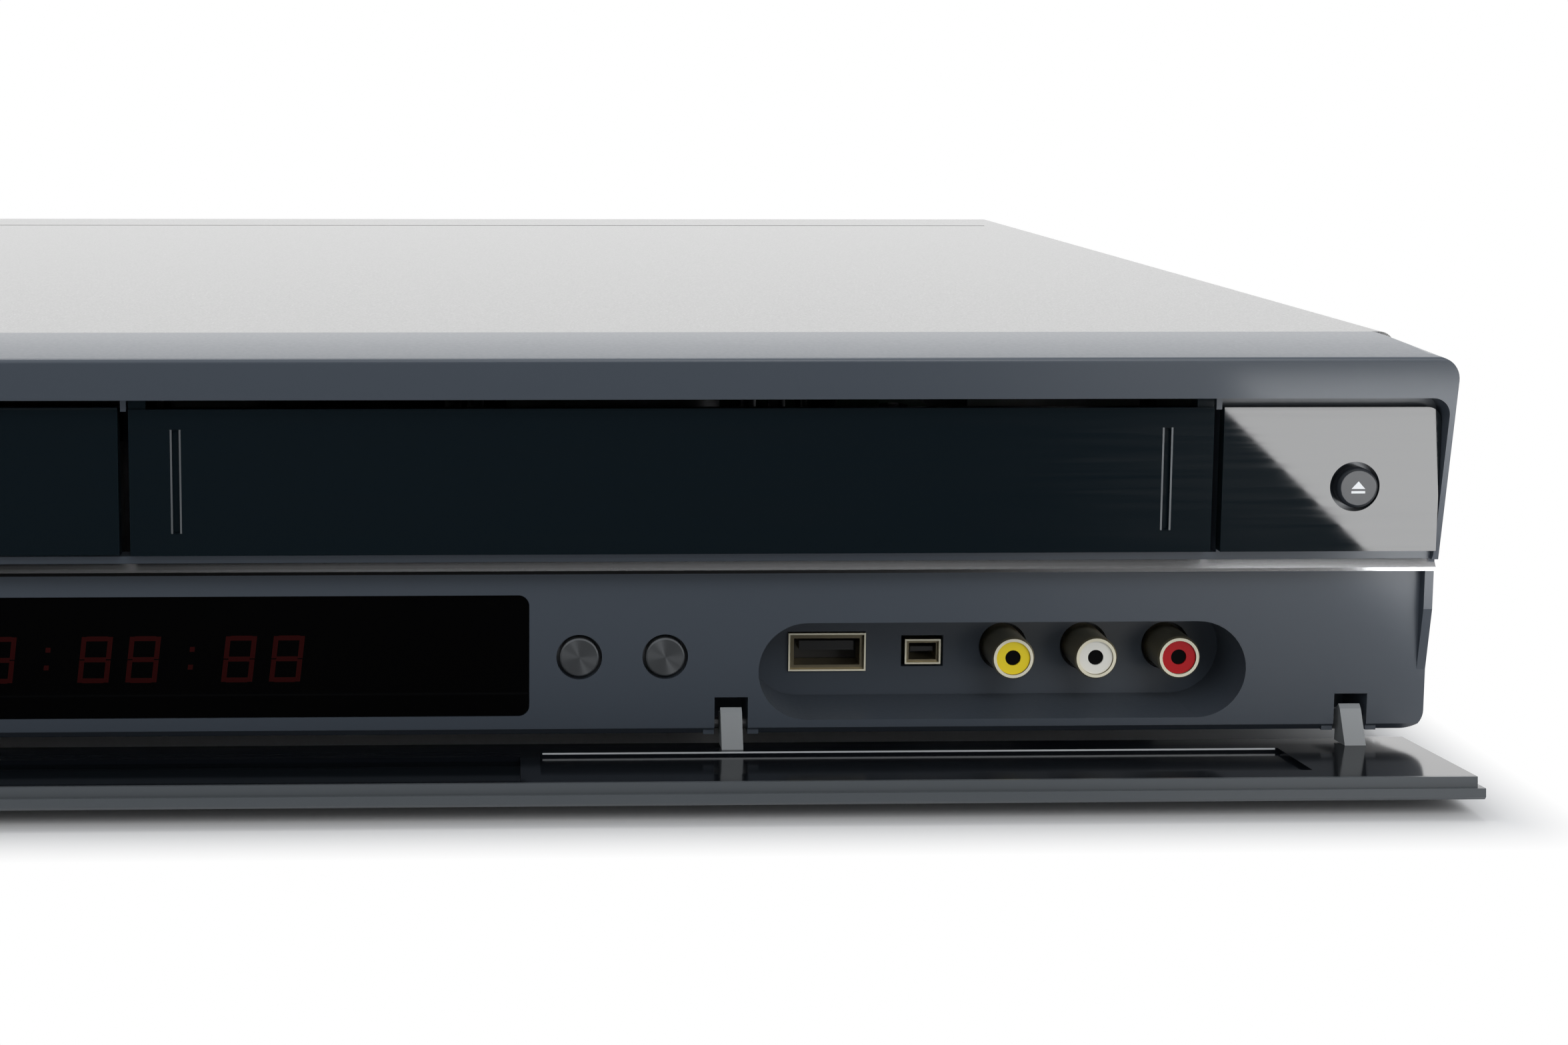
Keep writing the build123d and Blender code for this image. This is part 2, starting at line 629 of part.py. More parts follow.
def front_socket_cores():
    """Block of the round sockets, and the insulating cores of the two flat ones."""
    y0 = LOWER_Y + RECESS_DEPTH + RECESS_WALL + 0.1
    body = block(JACK_X[0] - 7, JACK_X[2] + 7, JACK_BLOCK_Y, JACK_BOARD_Y, 10.5, 27.5)
    for x in JACK_X:
        body += rod_y(x, y0, JACK_BLOCK_Y, JACK_Z, JACK_R + 1.2)
        body -= rod_y(x, y0 - 1, JACK_BLOCK_Y + 2, JACK_Z, JACK_R)
        body -= rod_y(x, JACK_BLOCK_Y + 1, JACK_BLOCK_Y + 8, JACK_Z, JACK_PIN_R)
    usb_core = socket_core(USB_X, USB_Z, USB_WIDTH, USB_HEIGHT, USB_Z + 0.1, 1.8)
    dv_core = socket_core(DV_X, DV_Z, DV_WIDTH, DV_HEIGHT, DV_Z - 0.2, 0.9)
    return Compound(children=[body, usb_core, dv_core])


def flared_socket(x, z, width, height, flare):
    """Pressed socket shell with lips that spread at its mouth."""
    y0, y1 = SOCKET_Y, JACK_BOARD_Y
    half_w, half_h = width / 2, height / 2
    wall = SOCKET_SHEET
    shell = block(x - half_w - wall, x + half_w + wall, y0 + LIP_DEPTH, y1, z - half_h - wall, z + half_h + wall)
    shell += block(
        x - half_w - flare, x + half_w + flare, y0, y0 + LIP_DEPTH, z - half_h - flare, z + half_h + flare
    )
    spread = flare - wall
    shell -= block(
        x - half_w - spread, x + half_w + spread, y0 - 1, y0 + LIP_DEPTH / 2, z - half_h - spread, z + half_h + spread
    )
    return shell - block(x - half_w, x + half_w, y0 - 1, y1 - SOCKET_BACK, z - half_h, z + half_h)


def usb_socket():
    return flared_socket(USB_X, USB_Z, USB_WIDTH, USB_HEIGHT, USB_FLARE)


def dv_socket():
    return flared_socket(DV_X, DV_Z, DV_WIDTH, DV_HEIGHT, DV_FLARE)


# ---- sheet metal ----
def chassis_pan():
    y0, y1 = HOOD_BACK_Y, BODY_DEPTH - SHEET
    x = HALF - COVER_SHEET - 0.2
    low = FLOOR_Z
    pan = block(-x, x, y0, y1, low, low + SHEET)
    pan += block(-x, -x + SHEET, y0, y1, low, low + 13)
    pan += block(x - SHEET, x, y0, y1, low, low + 13)
    pan += block(-x, x, y0, y0 + SHEET, low, low + 2.6)
    # cooling slots
    for column in range(9):
        for row in range(3):
            cx, cy = -150 + column * 12.0, 120 + row * 34.0
            pan -= block(cx - 1.5, cx + 1.5, cy - 12, cy + 12, low - 1, low + SHEET + 1)
    for cy in SIDE_SCREW_Y:
        pan -= rod_x(-HALF, HALF, cy, SIDE_SCREW_Z, SCREW_R)
    return pan


def rear_panel():
    y0, y1 = BODY_DEPTH - SHEET, BODY_DEPTH
    x = HALF - COVER_SHEET - 0.2
    panel = plate_y(-x, x, FLOOR_Z, LID_TOP - COVER_SHEET, y0, y1, 2.4)
    for _, jx, jz in rear_jack_places():
        panel -= rod_y(jx, y0 - 1, y1 + 1, jz, JACK_R + 1.4)
    for ax in AERIAL_X:
        panel -= rod_y(ax, y0 - 1, y1 + 1, AERIAL_Z, 6.2)
    panel -= block(HDMI_X - 8.4, HDMI_X + 8.4, y0 - 1, y1 + 1, HDMI_Z - 3.6, HDMI_Z + 3.6)
    panel -= block(INLET_X - 11, INLET_X + 11, y0 - 1, y1 + 1, INLET_Z - 7.0, INLET_Z + 7.0)
    for column in range(9):
        cx = FAN_X - 16 + column * 4.0
        reach = math.sqrt(max(18.0**2 - (cx - FAN_X) ** 2, 16))
        panel -= block(cx - 1.1, cx + 1.1, y0 - 1, y1 + 1, FAN_Z - reach, FAN_Z + reach)
    for x_screw in REAR_SCREW_X:
        panel -= rod_y(x_screw, y0 - 1, y1 + 1, REAR_SCREW_Z, 1.5)
    return panel


def top_cover():
    """Folded cover: roof, two sides, a pressed bead near the back."""
    y0, y1 = HOOD_BACK_Y, BODY_DEPTH
    outer = plate_y(-HALF, HALF, 0, LID_TOP, y0, y1, 3.0)
    inner = plate_y(
        -HALF + COVER_SHEET, HALF - COVER_SHEET, -5, LID_TOP - COVER_SHEET, y0 - 1, y1 + 1, 3.0 - COVER_SHEET
    )
    cover = outer - inner
    cover -= block(-HALF - 1, HALF + 1, y0 - 1, y1 + 1, -10, FLOOR_Z + 0.6)
    bead = 0.4
    cover += block(-205, 205, BEAD_Y - 1.2, BEAD_Y + 1.2, LID_TOP - COVER_SHEET - bead, LID_TOP - COVER_SHEET)
    cover -= block(-204.8, 204.8, BEAD_Y - 0.8, BEAD_Y + 0.8, LID_TOP - bead, LID_TOP + 1)
    for side in (-1, 1):
        for row in range(3):
            for column in range(10):
                cy, cz = 230 + column * 8.0, 40 + row * 9.0
                x0, x1 = sorted((side * (HALF - 2), side * (HALF + 1)))
                cover -= block(x0, x1, cy - 2.5, cy + 2.5, cz - 1.2, cz + 1.2)
        for cy in SIDE_SCREW_Y:
            x0, x1 = sorted((side * (HALF - 2), side * (HALF + 1)))
            cover -= rod_x(x0, x1, cy, SIDE_SCREW_Z, 1.7)
    return cover


def screw_head(reach):
    """Screw along +Z: pan head, shank and cross recess."""
    head = Pos(0, 0, 0.8) * Cylinder(3.2, 1.6)
    head = fillet(head.faces().sort_by(Axis.Z)[-1].edges(), 0.7)
    screw = head + Pos(0, 0, -reach / 2) * Cylinder(SCREW_R, reach)
    for angle in (0, 90):
        screw -= Pos(0, 0, 1.6) * Rot(0, 0, angle) * Box(3.0, 0.7, 1.4)
    return screw


def cover_screws():
    screws = []
    for side in (-1, 1):
        for cy in SIDE_SCREW_Y:
            screws.append(Pos(side * HALF, cy, SIDE_SCREW_Z) * Rot(0, side * 90, 0) * screw_head(3.0))
    for x in REAR_SCREW_X:
        screws.append(Pos(x, BODY_DEPTH, REAR_SCREW_Z) * Rot(-90, 0, 0) * screw_head(3.0))
    return Compound(children=screws)


def feet():
    foot = Pos(0, 0, FLOOR_Z / 2) * Cylinder(14, FLOOR_Z)
    foot = chamfer(foot.faces().sort_by(Axis.Z)[0].edges(), 1.2)
    foot -= Pos(0, 0, 0) * Cylinder(4, 6)
    return copies(foot, [(x, y, 0) for x in (-165, 165) for y in (48, 300)])


# ---- boards and power ----
def board_with_legs(x0, x1, y0, y1):
    """Circuit board standing on four pillars on the pan."""
    top = BOARD_Z
    board = block(x0, x1, y0, y1, top, top + BOARD)
    for x in (x0 + 5, x1 - 5):
        for y in (y0 + 5, y1 - 5):
            board += rod_z(x, y, FLOOR_Z + SHEET, top, 3)
    return board


def main_board():
    board = board_with_legs(-163, -30, 45, 200)
    top = BOARD_Z + BOARD
    for x, y, side in ((-120, 110, 28), (-75, 90, 20), (-75, 150, 14), (-140, 165, 12), (-50, 130, 10)):
        board += block(x - side / 2, x + side / 2, y - side / 2, y + side / 2, top, top + 2.4)
    return board


def power_board():
    """Mains board with its capacitors and the finned heat sink."""
    board = board_with_legs(-200, -40, 215, 320)
    return joined([board, heat_sink()] + filter_capacitors())


def power_transformer():
    top = BOARD_Z + BOARD
    core = block(-120, -84, 250, 286, top, top + 8)
    core += block(-120, -84, 250, 286, top + 22, top + 30)
    core += block(-120, -114, 250, 286, top, top + 30)
    core += block(-90, -84, 250, 286, top, top + 30)
    coil = rod_z(-102, 268, top + 8, top + 22, 11.5)
    return core + coil


def filter_capacitors():
    top = BOARD_Z + BOARD
    places = ((-150, 240, 11, 32), (-172, 262, 6, 20), (-60, 240, 6.5, 22), (-60, 258, 5, 18), (-60, 274, 5, 18))
    cans = []
    for x, y, radius, height in places:
        can = rod_z(x, y, top, top + height, radius)
        cans.append(fillet(can.faces().sort_by(Axis.Z)[-1].edges(), 0.8))
    return cans


def heat_sink():
    top = BOARD_Z + BOARD
    sink = block(-136, -133.5, 226, 296, top, top + 34)
    for i in range(7):
        y = 230 + i * 10.0
        sink += block(-133.5, -126, y - 0.8, y + 0.8, top + 4, top + 34)
    return sink


def rear_board():
    return board_with_legs(-20, 190, 270, 336)


def lower_board():
    """Board behind the lower panel with the switches of the round buttons."""
    y = FRONT_BOARD_Y
    board = block(-150, 82, y, y + BOARD, 10.0, 35.0)
    board -= block(HINGE_X[1] - 6, HINGE_X[1] + 6, y - 1, y + BOARD + 1, 9, HINGE_SLOT_TOP + 2)
    for x in RIGHT_BUTTON_X + LEFT_BUTTON_X:
        board += block(x - 3, x + 3, LOWER_SWITCH_Y, y, BUTTON_Z - 3, BUTTON_Z + 3)
    return board


def socket_board():
    return block(92, 184, JACK_BOARD_Y, JACK_BOARD_Y + BOARD, 8.6, 33.0)


def end_switch_boards():
    boards = []
    for x0, x1, places in ((176, 211, (EJECT_X,)), (-211, -176, END_BUTTON_X)):
        board = block(x0, x1, SWITCH_BOARD_Y, SWITCH_BOARD_Y + BOARD, 45, 63)
        for x in places:
            board += block(x - 3, x + 3, SWITCH_FACE_Y, SWITCH_BOARD_Y, EJECT_Z - 3, EJECT_Z + 3)
        boards.append(board)
    return boards


def front_boards():
    return Compound(children=[lower_board(), socket_board()] + end_switch_boards())


def rear_jack_block():
    top = BOARD_Z + BOARD
    y0, y1 = REAR_BLOCK_Y, BODY_DEPTH - SHEET - 0.1
    block_ = block(20, 76, y0, y1, top, 58)
    for _, x, z in rear_jack_places():
        block_ += rod_y(x, y1, BODY_DEPTH + 0.8, z, JACK_R + 1.2)
        block_ -= rod_y(x, y0 + 2, REAR_Y, z, JACK_R)
        block_ -= rod_y(x, y0 + 1, REAR_Y, z, JACK_PIN_R)
    return block_


def aerial_sockets():
    """Two threaded aerial sockets on one screened box."""
    y0, y1 = 312, BODY_DEPTH - SHEET - 0.1
    can = block(AERIAL_X[0] - 11, AERIAL_X[1] + 11, y0, y1, BOARD_Z + BOARD, 52)
    for x in AERIAL_X:
        can += rod_y(x, y1, BODY_DEPTH + 1.5, AERIAL_Z, 5.8)
        can += rod_y(x, BODY_DEPTH + 1.5, REAR_Y, AERIAL_Z, 4.7)
        can -= rod_y(x, REAR_Y - 6, REAR_Y + 1, AERIAL_Z, 3.6)
        can += rod_y(x, REAR_Y - 7, REAR_Y - 0.4, AERIAL_Z, 2.6) - rod_y(x, REAR_Y - 5, REAR_Y, AERIAL_Z, 0.6)
    return can


def hdmi_socket():
    y0, y1 = 326, BODY_DEPTH + 0.6
    top = BOARD_Z + BOARD
    shell = block(HDMI_X - 7.5, HDMI_X + 7.5, y0, y1, HDMI_Z - 2.9, HDMI_Z + 2.9)
    shell -= block(HDMI_X - 7.0, HDMI_X + 7.0, y1 - 9, y1 + 1, HDMI_Z - 2.3, HDMI_Z + 2.3)
    shell += block(HDMI_X - 5.5, HDMI_X + 5.5, y1 - 9, y1 - 1.5, HDMI_Z - 0.5, HDMI_Z + 0.5)
    shell += block(HDMI_X - 5, HDMI_X + 5, y0, y0 + 8, top, HDMI_Z - 2.9)
    return shell


def mains_inlet():
    """Two-pin inlet with a figure-eight socket."""
    y0, y1 = 318, BODY_DEPTH + 0.8
    body = block(INLET_X - 14, INLET_X + 14, BODY_DEPTH, y1, INLET_Z - 9, INLET_Z + 9)
    body += block(INLET_X - 10.8, INLET_X + 10.8, y0, BODY_DEPTH, INLET_Z - 6.8, INLET_Z + 6.8)
    well = joined(
        [
            rod_y(INLET_X - 4.4, y1 - 12, y1 + 1, INLET_Z, 4.2),
            rod_y(INLET_X + 4.4, y1 - 12, y1 + 1, INLET_Z, 4.2),
            block(INLET_X - 4.4, INLET_X + 4.4, y1 - 12, y1 + 1, INLET_Z - 3.0, INLET_Z + 3.0),
        ]
    )
    body -= well
    for side in (-1, 1):
        body += rod_y(INLET_X + side * 4.3, y1 - 13, y1 - 3, INLET_Z, 1.15)
    body += block(INLET_X - 5, INLET_X + 5, y0, y0 + 3, BOARD_Z + BOARD, INLET_Z - 6)
    return body


def fan_frame():
    half = FAN_SIZE / 2
    y0, y1 = FAN_Y0, BODY_DEPTH - SHEET
    frame = block(FAN_X - half, FAN_X + half, y0, y1, FAN_Z - half, FAN_Z + half)
    frame -= rod_y(FAN_X, y0 - 1, y1 + 1, FAN_Z, half - 1.2)
    frame += rod_y(FAN_X, y0, y0 + 1.5, FAN_Z, 9)
    for angle in (45, 165, 285):
        strut = Pos(0, (y0 + y0 + 1.5) / 2, 0) * Box(2 * half - 2, 1.5, 2.2)
        half_strut = strut & block(0, half + 2, y0 - 1, y0 + 3, -3, 3)
        frame += Pos(FAN_X, 0, FAN_Z) * Rot(0, angle, 0) * half_strut
    frame += rod_y(FAN_X, y0, y0 + 6, FAN_Z, 1.5)
    return frame


def fan_rotor():
    y0 = FAN_Y0 + 1.8
    y1 = BODY_DEPTH - SHEET - 1.2
    hub = rod_y(FAN_X, y0, y1, FAN_Z, 8.5)
    hub -= rod_y(FAN_X, y0 - 1, FAN_Y0 + 6.4, FAN_Z, 1.5 + RUN)
    blade = Pos(0, 0, 12.6) * Rot(0, 0, 35) * Box(1.0, 8.0, 9.2)
    for i in range(7):
        hub += Pos(FAN_X, (y0 + y1) / 2, FAN_Z) * Rot(0, i * 360 / 7, 0) * blade
    return hub


# ---- disc drive ----
def drive_housing():
    """Folded steel box of the drive, open at the front, on four legs."""
    x0, x1 = DRIVE_X - DRIVE_WIDTH / 2, DRIVE_X + DRIVE_WIDTH / 2
    t = DRIVE_SHEET
    box = block(x0, x1, DRIVE_FRONT_Y, DRIVE_BACK_Y, DRIVE_LOW_Z, DRIVE_TOP_Z)
    box -= block(x0 + t, x1 - t, DRIVE_FRONT_Y - 1, DRIVE_BACK_Y - t, DRIVE_LOW_Z + t, DRIVE_TOP_Z - t)
    box -= block(DRIVE_X - 40, DRIVE_X + 40, 50, 150, DRIVE_LOW_Z - 1, DRIVE_LOW_Z + t + 0.5)
    for x in (x0, x1 - 4):
        for y in (DRIVE_FRONT_Y + 10, DRIVE_BACK_Y - 14):
            box += block(x, x + 4, y, y + 8, FLOOR_Z + SHEET, DRIVE_LOW_Z)
    return box + clamp_bridge()


def drive_base():
    """Moulded base: floor, ledges under the tray's edges, side guides, gear pin."""
    x0 = DRIVE_X - DRIVE_WIDTH / 2 + DRIVE_SHEET
    x1 = DRIVE_X + DRIVE_WIDTH / 2 - DRIVE_SHEET
    z0 = DRIVE_LOW_Z + DRIVE_SHEET
    y0, y1 = DRIVE_FRONT_Y, DRIVE_BACK_Y - DRIVE_SHEET
    edge = TRAY_WIDTH / 2
    base = block(x0, x1, y0, y1, z0, z0 + 2)
    base -= block(DRIVE_X - 36, DRIVE_X + 36, 52, 148, z0 - 1, z0 + 3)
    for side in (-1, 1):
        wall_x = sorted((DRIVE_X + side * (edge + CLEAR), x1 if side > 0 else x0))
        ledge_x = sorted((DRIVE_X + side * (edge - 3), x1 if side > 0 else x0))
        base += block(*ledge_x, y0, y1, z0, TRAY_Z - CLEAR)
        base += block(*wall_x, y0, y1, z0, TRAY_Z + 7)
    base += rod_z(PINION_X, PINION_Y, z0, TRAY_Z - 1.6, PINION_PIN_R)
    base += rod_z(PINION_X, PINION_Y, z0, PINION_LOW_Z - 0.2, 4)
    for x in (DRIVE_X - 41, DRIVE_X + 41):
        for y in (58, 142):
            base += rod_z(x, y, z0, TRAVERSE_Z, 3)
    return base


def tooth_row(count, pitch, height, thick_root, thick_tip, depth):
    """Straight row of teeth along +Y that point along +X."""
    tooth = Polyline(
        (-0.4, -thick_root / 2), (0, -thick_root / 2), (height, -thick_tip / 2),
        (height, thick_tip / 2), (0, thick_root / 2), (-0.4, thick_root / 2), close=True,
    )
    one = extrude(make_face(tooth), depth)
    return [Pos(0, i * pitch, 0) * one for i in range(count)]


def tray():
    """Disc tray: plate with two wells, the pickup slot, a rack underneath."""
    x0, x1 = DRIVE_X - TRAY_WIDTH / 2, DRIVE_X + TRAY_WIDTH / 2
    top = TRAY_Z + TRAY_THICK
    y0 = UPPER_Y + PANEL_THICK
    plate = block(x0, x1, y0, TRAY_BACK_Y, TRAY_Z, top)
    plate -= rod_z(DRIVE_X, DISC_Y, top - DISC_WELL, top + 1, DISC_R)
    plate -= rod_z(DRIVE_X, DISC_Y, top - SMALL_WELL, top + 1, SMALL_DISC_R)
    plate -= rod_z(DRIVE_X, DISC_Y, TRAY_Z - 1, top + 1, 18)
    plate -= block(DRIVE_X - 18, DRIVE_X + 18, DISC_Y, DISC_Y + 58, TRAY_Z - 1, top + 1)
    # rack
    pitch = math.pi * PINION_MODULE
    line_x = PINION_X + PINION_TEETH * PINION_MODULE / 2
    z0 = TRAY_Z - GEAR_THICK
    plate += block(line_x + 1.2, line_x + 4.5, PINION_Y - 8, TRAY_BACK_Y, z0, TRAY_Z)
    count = int((TRAY_BACK_Y - PINION_Y) / pitch) + 2
    teeth = tooth_row(count, pitch, 2.1, 1.9, 0.9, GEAR_THICK)
    for tooth in teeth:
        plate += Pos(line_x + 1.2, PINION_Y - 2 * pitch, z0) * Rot(0, 0, 180) * mirror_y(tooth)
    return plate


def mirror_y(shape):
    return mirror(shape, about=Plane.XZ)


def tray_front():
    x0, x1 = TRAY_FRONT_LEFT, TRAY_FRONT_RIGHT
    front = block(x0, x1, UPPER_Y, UPPER_Y + PANEL_THICK, UPPER_LOW_Z, UPPER_TOP_Z + 0.4)
    front = fillet(front.edges().filter_by(Axis.X).sort_by(Axis.Y)[:2], 0.4)
    return front


def tray_pinion():
    """Gear that meshes with the rack; a gap between teeth faces the rack's tooth."""
    radius = PINION_TEETH * PINION_MODULE / 2
    z0 = PINION_LOW_Z
    z1 = TRAY_Z - 2.0
    gear = rod_z(0, 0, z0, z1, radius - 1.2)
    tooth = Polyline(
        (radius - 1.6, -0.85), (radius + 0.85, -0.4), (radius + 0.85, 0.4), (radius - 1.6, 0.85), close=True
    )
    one = Pos(0, 0, z0) * extrude(make_face(tooth), z1 - z0)
    for i in range(PINION_TEETH):
        gear += Rot(0, 0, (i + 0.5) * 360 / PINION_TEETH) * one
    gear -= rod_z(0, 0, z0 - 1, z1 + 1, PINION_PIN_R + RUN)
    return Pos(PINION_X, PINION_Y, 0) * gear


def traverse():
    """Steel plate with the sled's two guide rods and the spindle motor."""
    z = TRAVERSE_Z
    plate = block(DRIVE_X - 45, DRIVE_X + 45, 54, 152, z, z + 1.2)
    plate -= block(DRIVE_X - 14, DRIVE_X + 14, 96, 146, z - 1, z + 2)
    for x in (DRIVE_X - ROD_X, DRIVE_X + ROD_X):
        for y in (SLED_Y - 4, SLED_Y + 17 + SLED_TRAVEL):
            plate += block(x - 2.5, x + 2.5, y, y + 3, z, ROD_Z + 2.2)
        plate += rod_y(x, SLED_Y - 4, SLED_Y + 20 + SLED_TRAVEL, ROD_Z, ROD_R)
    motor = rod_z(DRIVE_X, DISC_Y, z + 1.2, z + 6.7, 13)
    return plate + motor + rod_z(DRIVE_X, DISC_Y, z + 6.7, z + 11.2, 1.2)


def turntable():
    z = TRAVERSE_Z + 7.2
    table = rod_z(DRIVE_X, DISC_Y, z, z + 3.0, 14)
    cone = Pos(DRIVE_X, DISC_Y, z + 3.0 + 1.1) * Cone(7.4, 6.4, 2.2)
    return table + cone - rod_z(DRIVE_X, DISC_Y, z - 1, TRAVERSE_Z + 11.4, 1.2 + RUN)


def disc_clamp():
    """Spool-shaped puck that hangs in the bridge over the tray."""
    puck = rod_z(DRIVE_X, DISC_Y, BRIDGE_Z - 3.0, BRIDGE_Z - 0.3, 13)
    puck += rod_z(DRIVE_X, DISC_Y, BRIDGE_Z - 0.3, BRIDGE_Z + 1.3, 7.5)
    puck += rod_z(DRIVE_X, DISC_Y, BRIDGE_Z + 1.3, BRIDGE_Z + 2.6, 10.5)
    return puck


def clamp_bridge():
    """Steel bridge over the tray, from one side guide to the other."""
    x0 = DRIVE_X - DRIVE_WIDTH / 2 + DRIVE_SHEET
    x1 = DRIVE_X + DRIVE_WIDTH / 2 - DRIVE_SHEET
    bridge = block(x0, x1, DISC_Y - 16, DISC_Y + 16, BRIDGE_Z, BRIDGE_Z + 1.0)
    for a, b in ((x0, x0 + 5), (x1 - 5, x1)):
        bridge += block(a, b, DISC_Y - 16, DISC_Y + 16, TRAY_Z + 7, BRIDGE_Z)
    return bridge - rod_z(DRIVE_X, DISC_Y, BRIDGE_Z - 1, BRIDGE_Z + 2, 9)


def laser_sled():
    z0, z1 = ROD_Z - 2.6, ROD_Z + 3.6
    sled = block(DRIVE_X - ROD_X - 3.4, DRIVE_X + ROD_X + 3.4, SLED_Y, SLED_Y + 16, z0, z1)
    for x in (DRIVE_X - ROD_X, DRIVE_X + ROD_X):
        sled -= rod_y(x, SLED_Y - 1, SLED_Y + 17, ROD_Z, ROD_R + RUN)
    sled += rod_z(DRIVE_X, SLED_Y + 8, z1, z1 + 0.8, 5)
    lens = Pos(DRIVE_X, SLED_Y + 8, z1 + 0.8) * Sphere(3)
    return sled + (lens & block(DRIVE_X - 4, DRIVE_X + 4, SLED_Y, SLED_Y + 16, z1 + 0.8, z1 + 1.4 + 0.6))


# ---- tape deck ----
def deck_chassis():
    """Deck plate on four pillars, with the side frames that guide the carriage."""
    x0, x1 = DECK_X0, DECK_X1
    z = DECK_Z
    deck = block(x0, x1, DECK_FRONT_Y, DECK_BACK_Y, z, z + DECK_SHEET)
    for a, b in ((x0, x0 + DECK_SHEET), (x1 - DECK_SHEET, x1)):
        deck += block(a, b, DECK_FRONT_Y, 190, z, 68)
    for x in (x0 + 6, x1 - 6):
        for y in (DECK_FRONT_Y + 8, DECK_BACK_Y - 8):
            deck += rod_z(x, y, FLOOR_Z + SHEET, z, 4)
    deck -= rod_z(CAPSTAN_X, CAPSTAN_Y, z - 1, z + 3, 1.5 + RUN)
    for x in (MIDDLE_X - HUB_SPACING / 2, MIDDLE_X + HUB_SPACING / 2):
        deck += rod_z(x, HUB_Y, z, z + 9, 1.2)
    deck += rod_z(PINCH_X, PINCH_Y, z, z + 12, 1.5)
    # tape guide posts on both sides of the drum
    for side in (-1, 1):
        for reach, along in ((40, 4), (46, -14)):
            px, py = MIDDLE_X + side * reach, DRUM_Y + along
            deck += rod_z(px, py, z, z + 30, 2.4) + rod_z(px, py, z + 14, z + 17, 4.2)
    # fixed lower half of the head drum, with its shaft
    z += DECK_SHEET
    return deck + rod_z(MIDDLE_X, DRUM_Y, z, z + 17, DRUM_R) + rod_z(MIDDLE_X, DRUM_Y, z + 17, z + 24, 3)


def head_drum():
    z = DECK_Z + DECK_SHEET + 17.3
    drum = rod_z(MIDDLE_X, DRUM_Y, z, z + 17, DRUM_R)
    drum = chamfer(drum.faces().sort_by(Axis.Z)[-1].edges(), 0.8)
    drum -= rod_z(MIDDLE_X, DRUM_Y, z + 14, z + 18, 24) - rod_z(MIDDLE_X, DRUM_Y, z + 14, z + 18, 9)
    return drum - rod_z(MIDDLE_X, DRUM_Y, z - 1, DECK_Z + DECK_SHEET + 24.4, 3 + RUN)


def capstan():
    z = DECK_Z
    wheel = rod_z(CAPSTAN_X, CAPSTAN_Y, z - 7, z - 0.6, 18)
    return wheel + rod_z(CAPSTAN_X, CAPSTAN_Y, z - 0.6, z + 24, 1.5)


def reel(x):
    """Reel table with a splined spindle, on a pin of the deck."""
    z = DECK_Z + DECK_SHEET + 0.3
    table = rod_z(x, HUB_Y, z, z + 2.4, REEL_R)
    table += rod_z(x, HUB_Y, z + 2.4, z + 13.0, 4.4)
    for i in range(3):
        fin = Pos(0, 0, z + 8.4) * Box(12.6, 1.6, 7)
        half_fin = fin & block(0, 8, -2, 2, z, z + 14)
        table += Pos(x, HUB_Y, 0) * Rot(0, 0, i * 120) * half_fin
    return table - rod_z(x, HUB_Y, z - 1, DECK_Z + 9.4, 1.2 + RUN)


def pinch_roller_arm():
    """Swinging arm with its rubber roller, a little off the capstan."""
    z = DECK_Z + DECK_SHEET + 0.3
    arm = rod_z(PINCH_X, PINCH_Y, z, z + 10, 4)
    arm += block(PINCH_X - 22, PINCH_X, PINCH_Y - 2.5, PINCH_Y + 2.5, z, z + 3)
    arm += rod_z(PINCH_X - 22, PINCH_Y, z, z + 4, 4)
    arm += rod_z(PINCH_X - 22, PINCH_Y, z + 4, z + 18, 6.0)
    return arm - rod_z(PINCH_X, PINCH_Y, z - 1, z + 11, 1.5 + RUN)


def cassette_carriage():
    """Two side plates and a top strap that run in the deck's side frames."""
    t = CAGE_SHEET
    x0, x1 = CARRIAGE_X0, CARRIAGE_X1
    y0, y1 = CAGE_FRONT_Y + 8, CAGE_FRONT_Y + CAGE_DEPTH - 14
    frame = block(x0, x0 + t, y0, y1, 31, CAGE_TOP_Z + 2.0)
    frame += block(x1 - t, x1, y0, y1, 31, CAGE_TOP_Z + 2.0)
    frame += block(x0, x1, y0 + 10, y1 - 10, CAGE_TOP_Z + 1.2, CAGE_TOP_Z + 2.0)
    return frame


def cassette_cage():
    """Holder that the cassette slides into, with slots for the reel spindles."""
    t = CAGE_SHEET
    half = CASSETTE_WIDTH / 2 + t
    y0, y1 = CAGE_FRONT_Y, CAGE_FRONT_Y + CAGE_DEPTH
    z0, z1 = CAGE_LOW_Z, CAGE_TOP_Z
    x0, x1 = MIDDLE_X - half, MIDDLE_X + half
    cage = block(x0, x1, y0, y1, z0, z0 + t)
    for x in (MIDDLE_X - HUB_SPACING / 2, MIDDLE_X + HUB_SPACING / 2):
        cage -= rod_z(x, HUB_Y - CAGE_TRAVEL, z0 - 1, z0 + 2, 9)
        cage -= block(x - 9, x + 9, HUB_Y - CAGE_TRAVEL, y1 + 1, z0 - 1, z0 + 2)
    cage += block(x0, x0 + t, y0, y1, z0, z1) + block(x1 - t, x1, y0, y1, z0, z1)
    for a, b in ((y0 + 2, y0 + 14), (y1 - 30, y1 - 14)):
        cage += block(x0, x1, a, b, z1 - t, z1)
    return cage


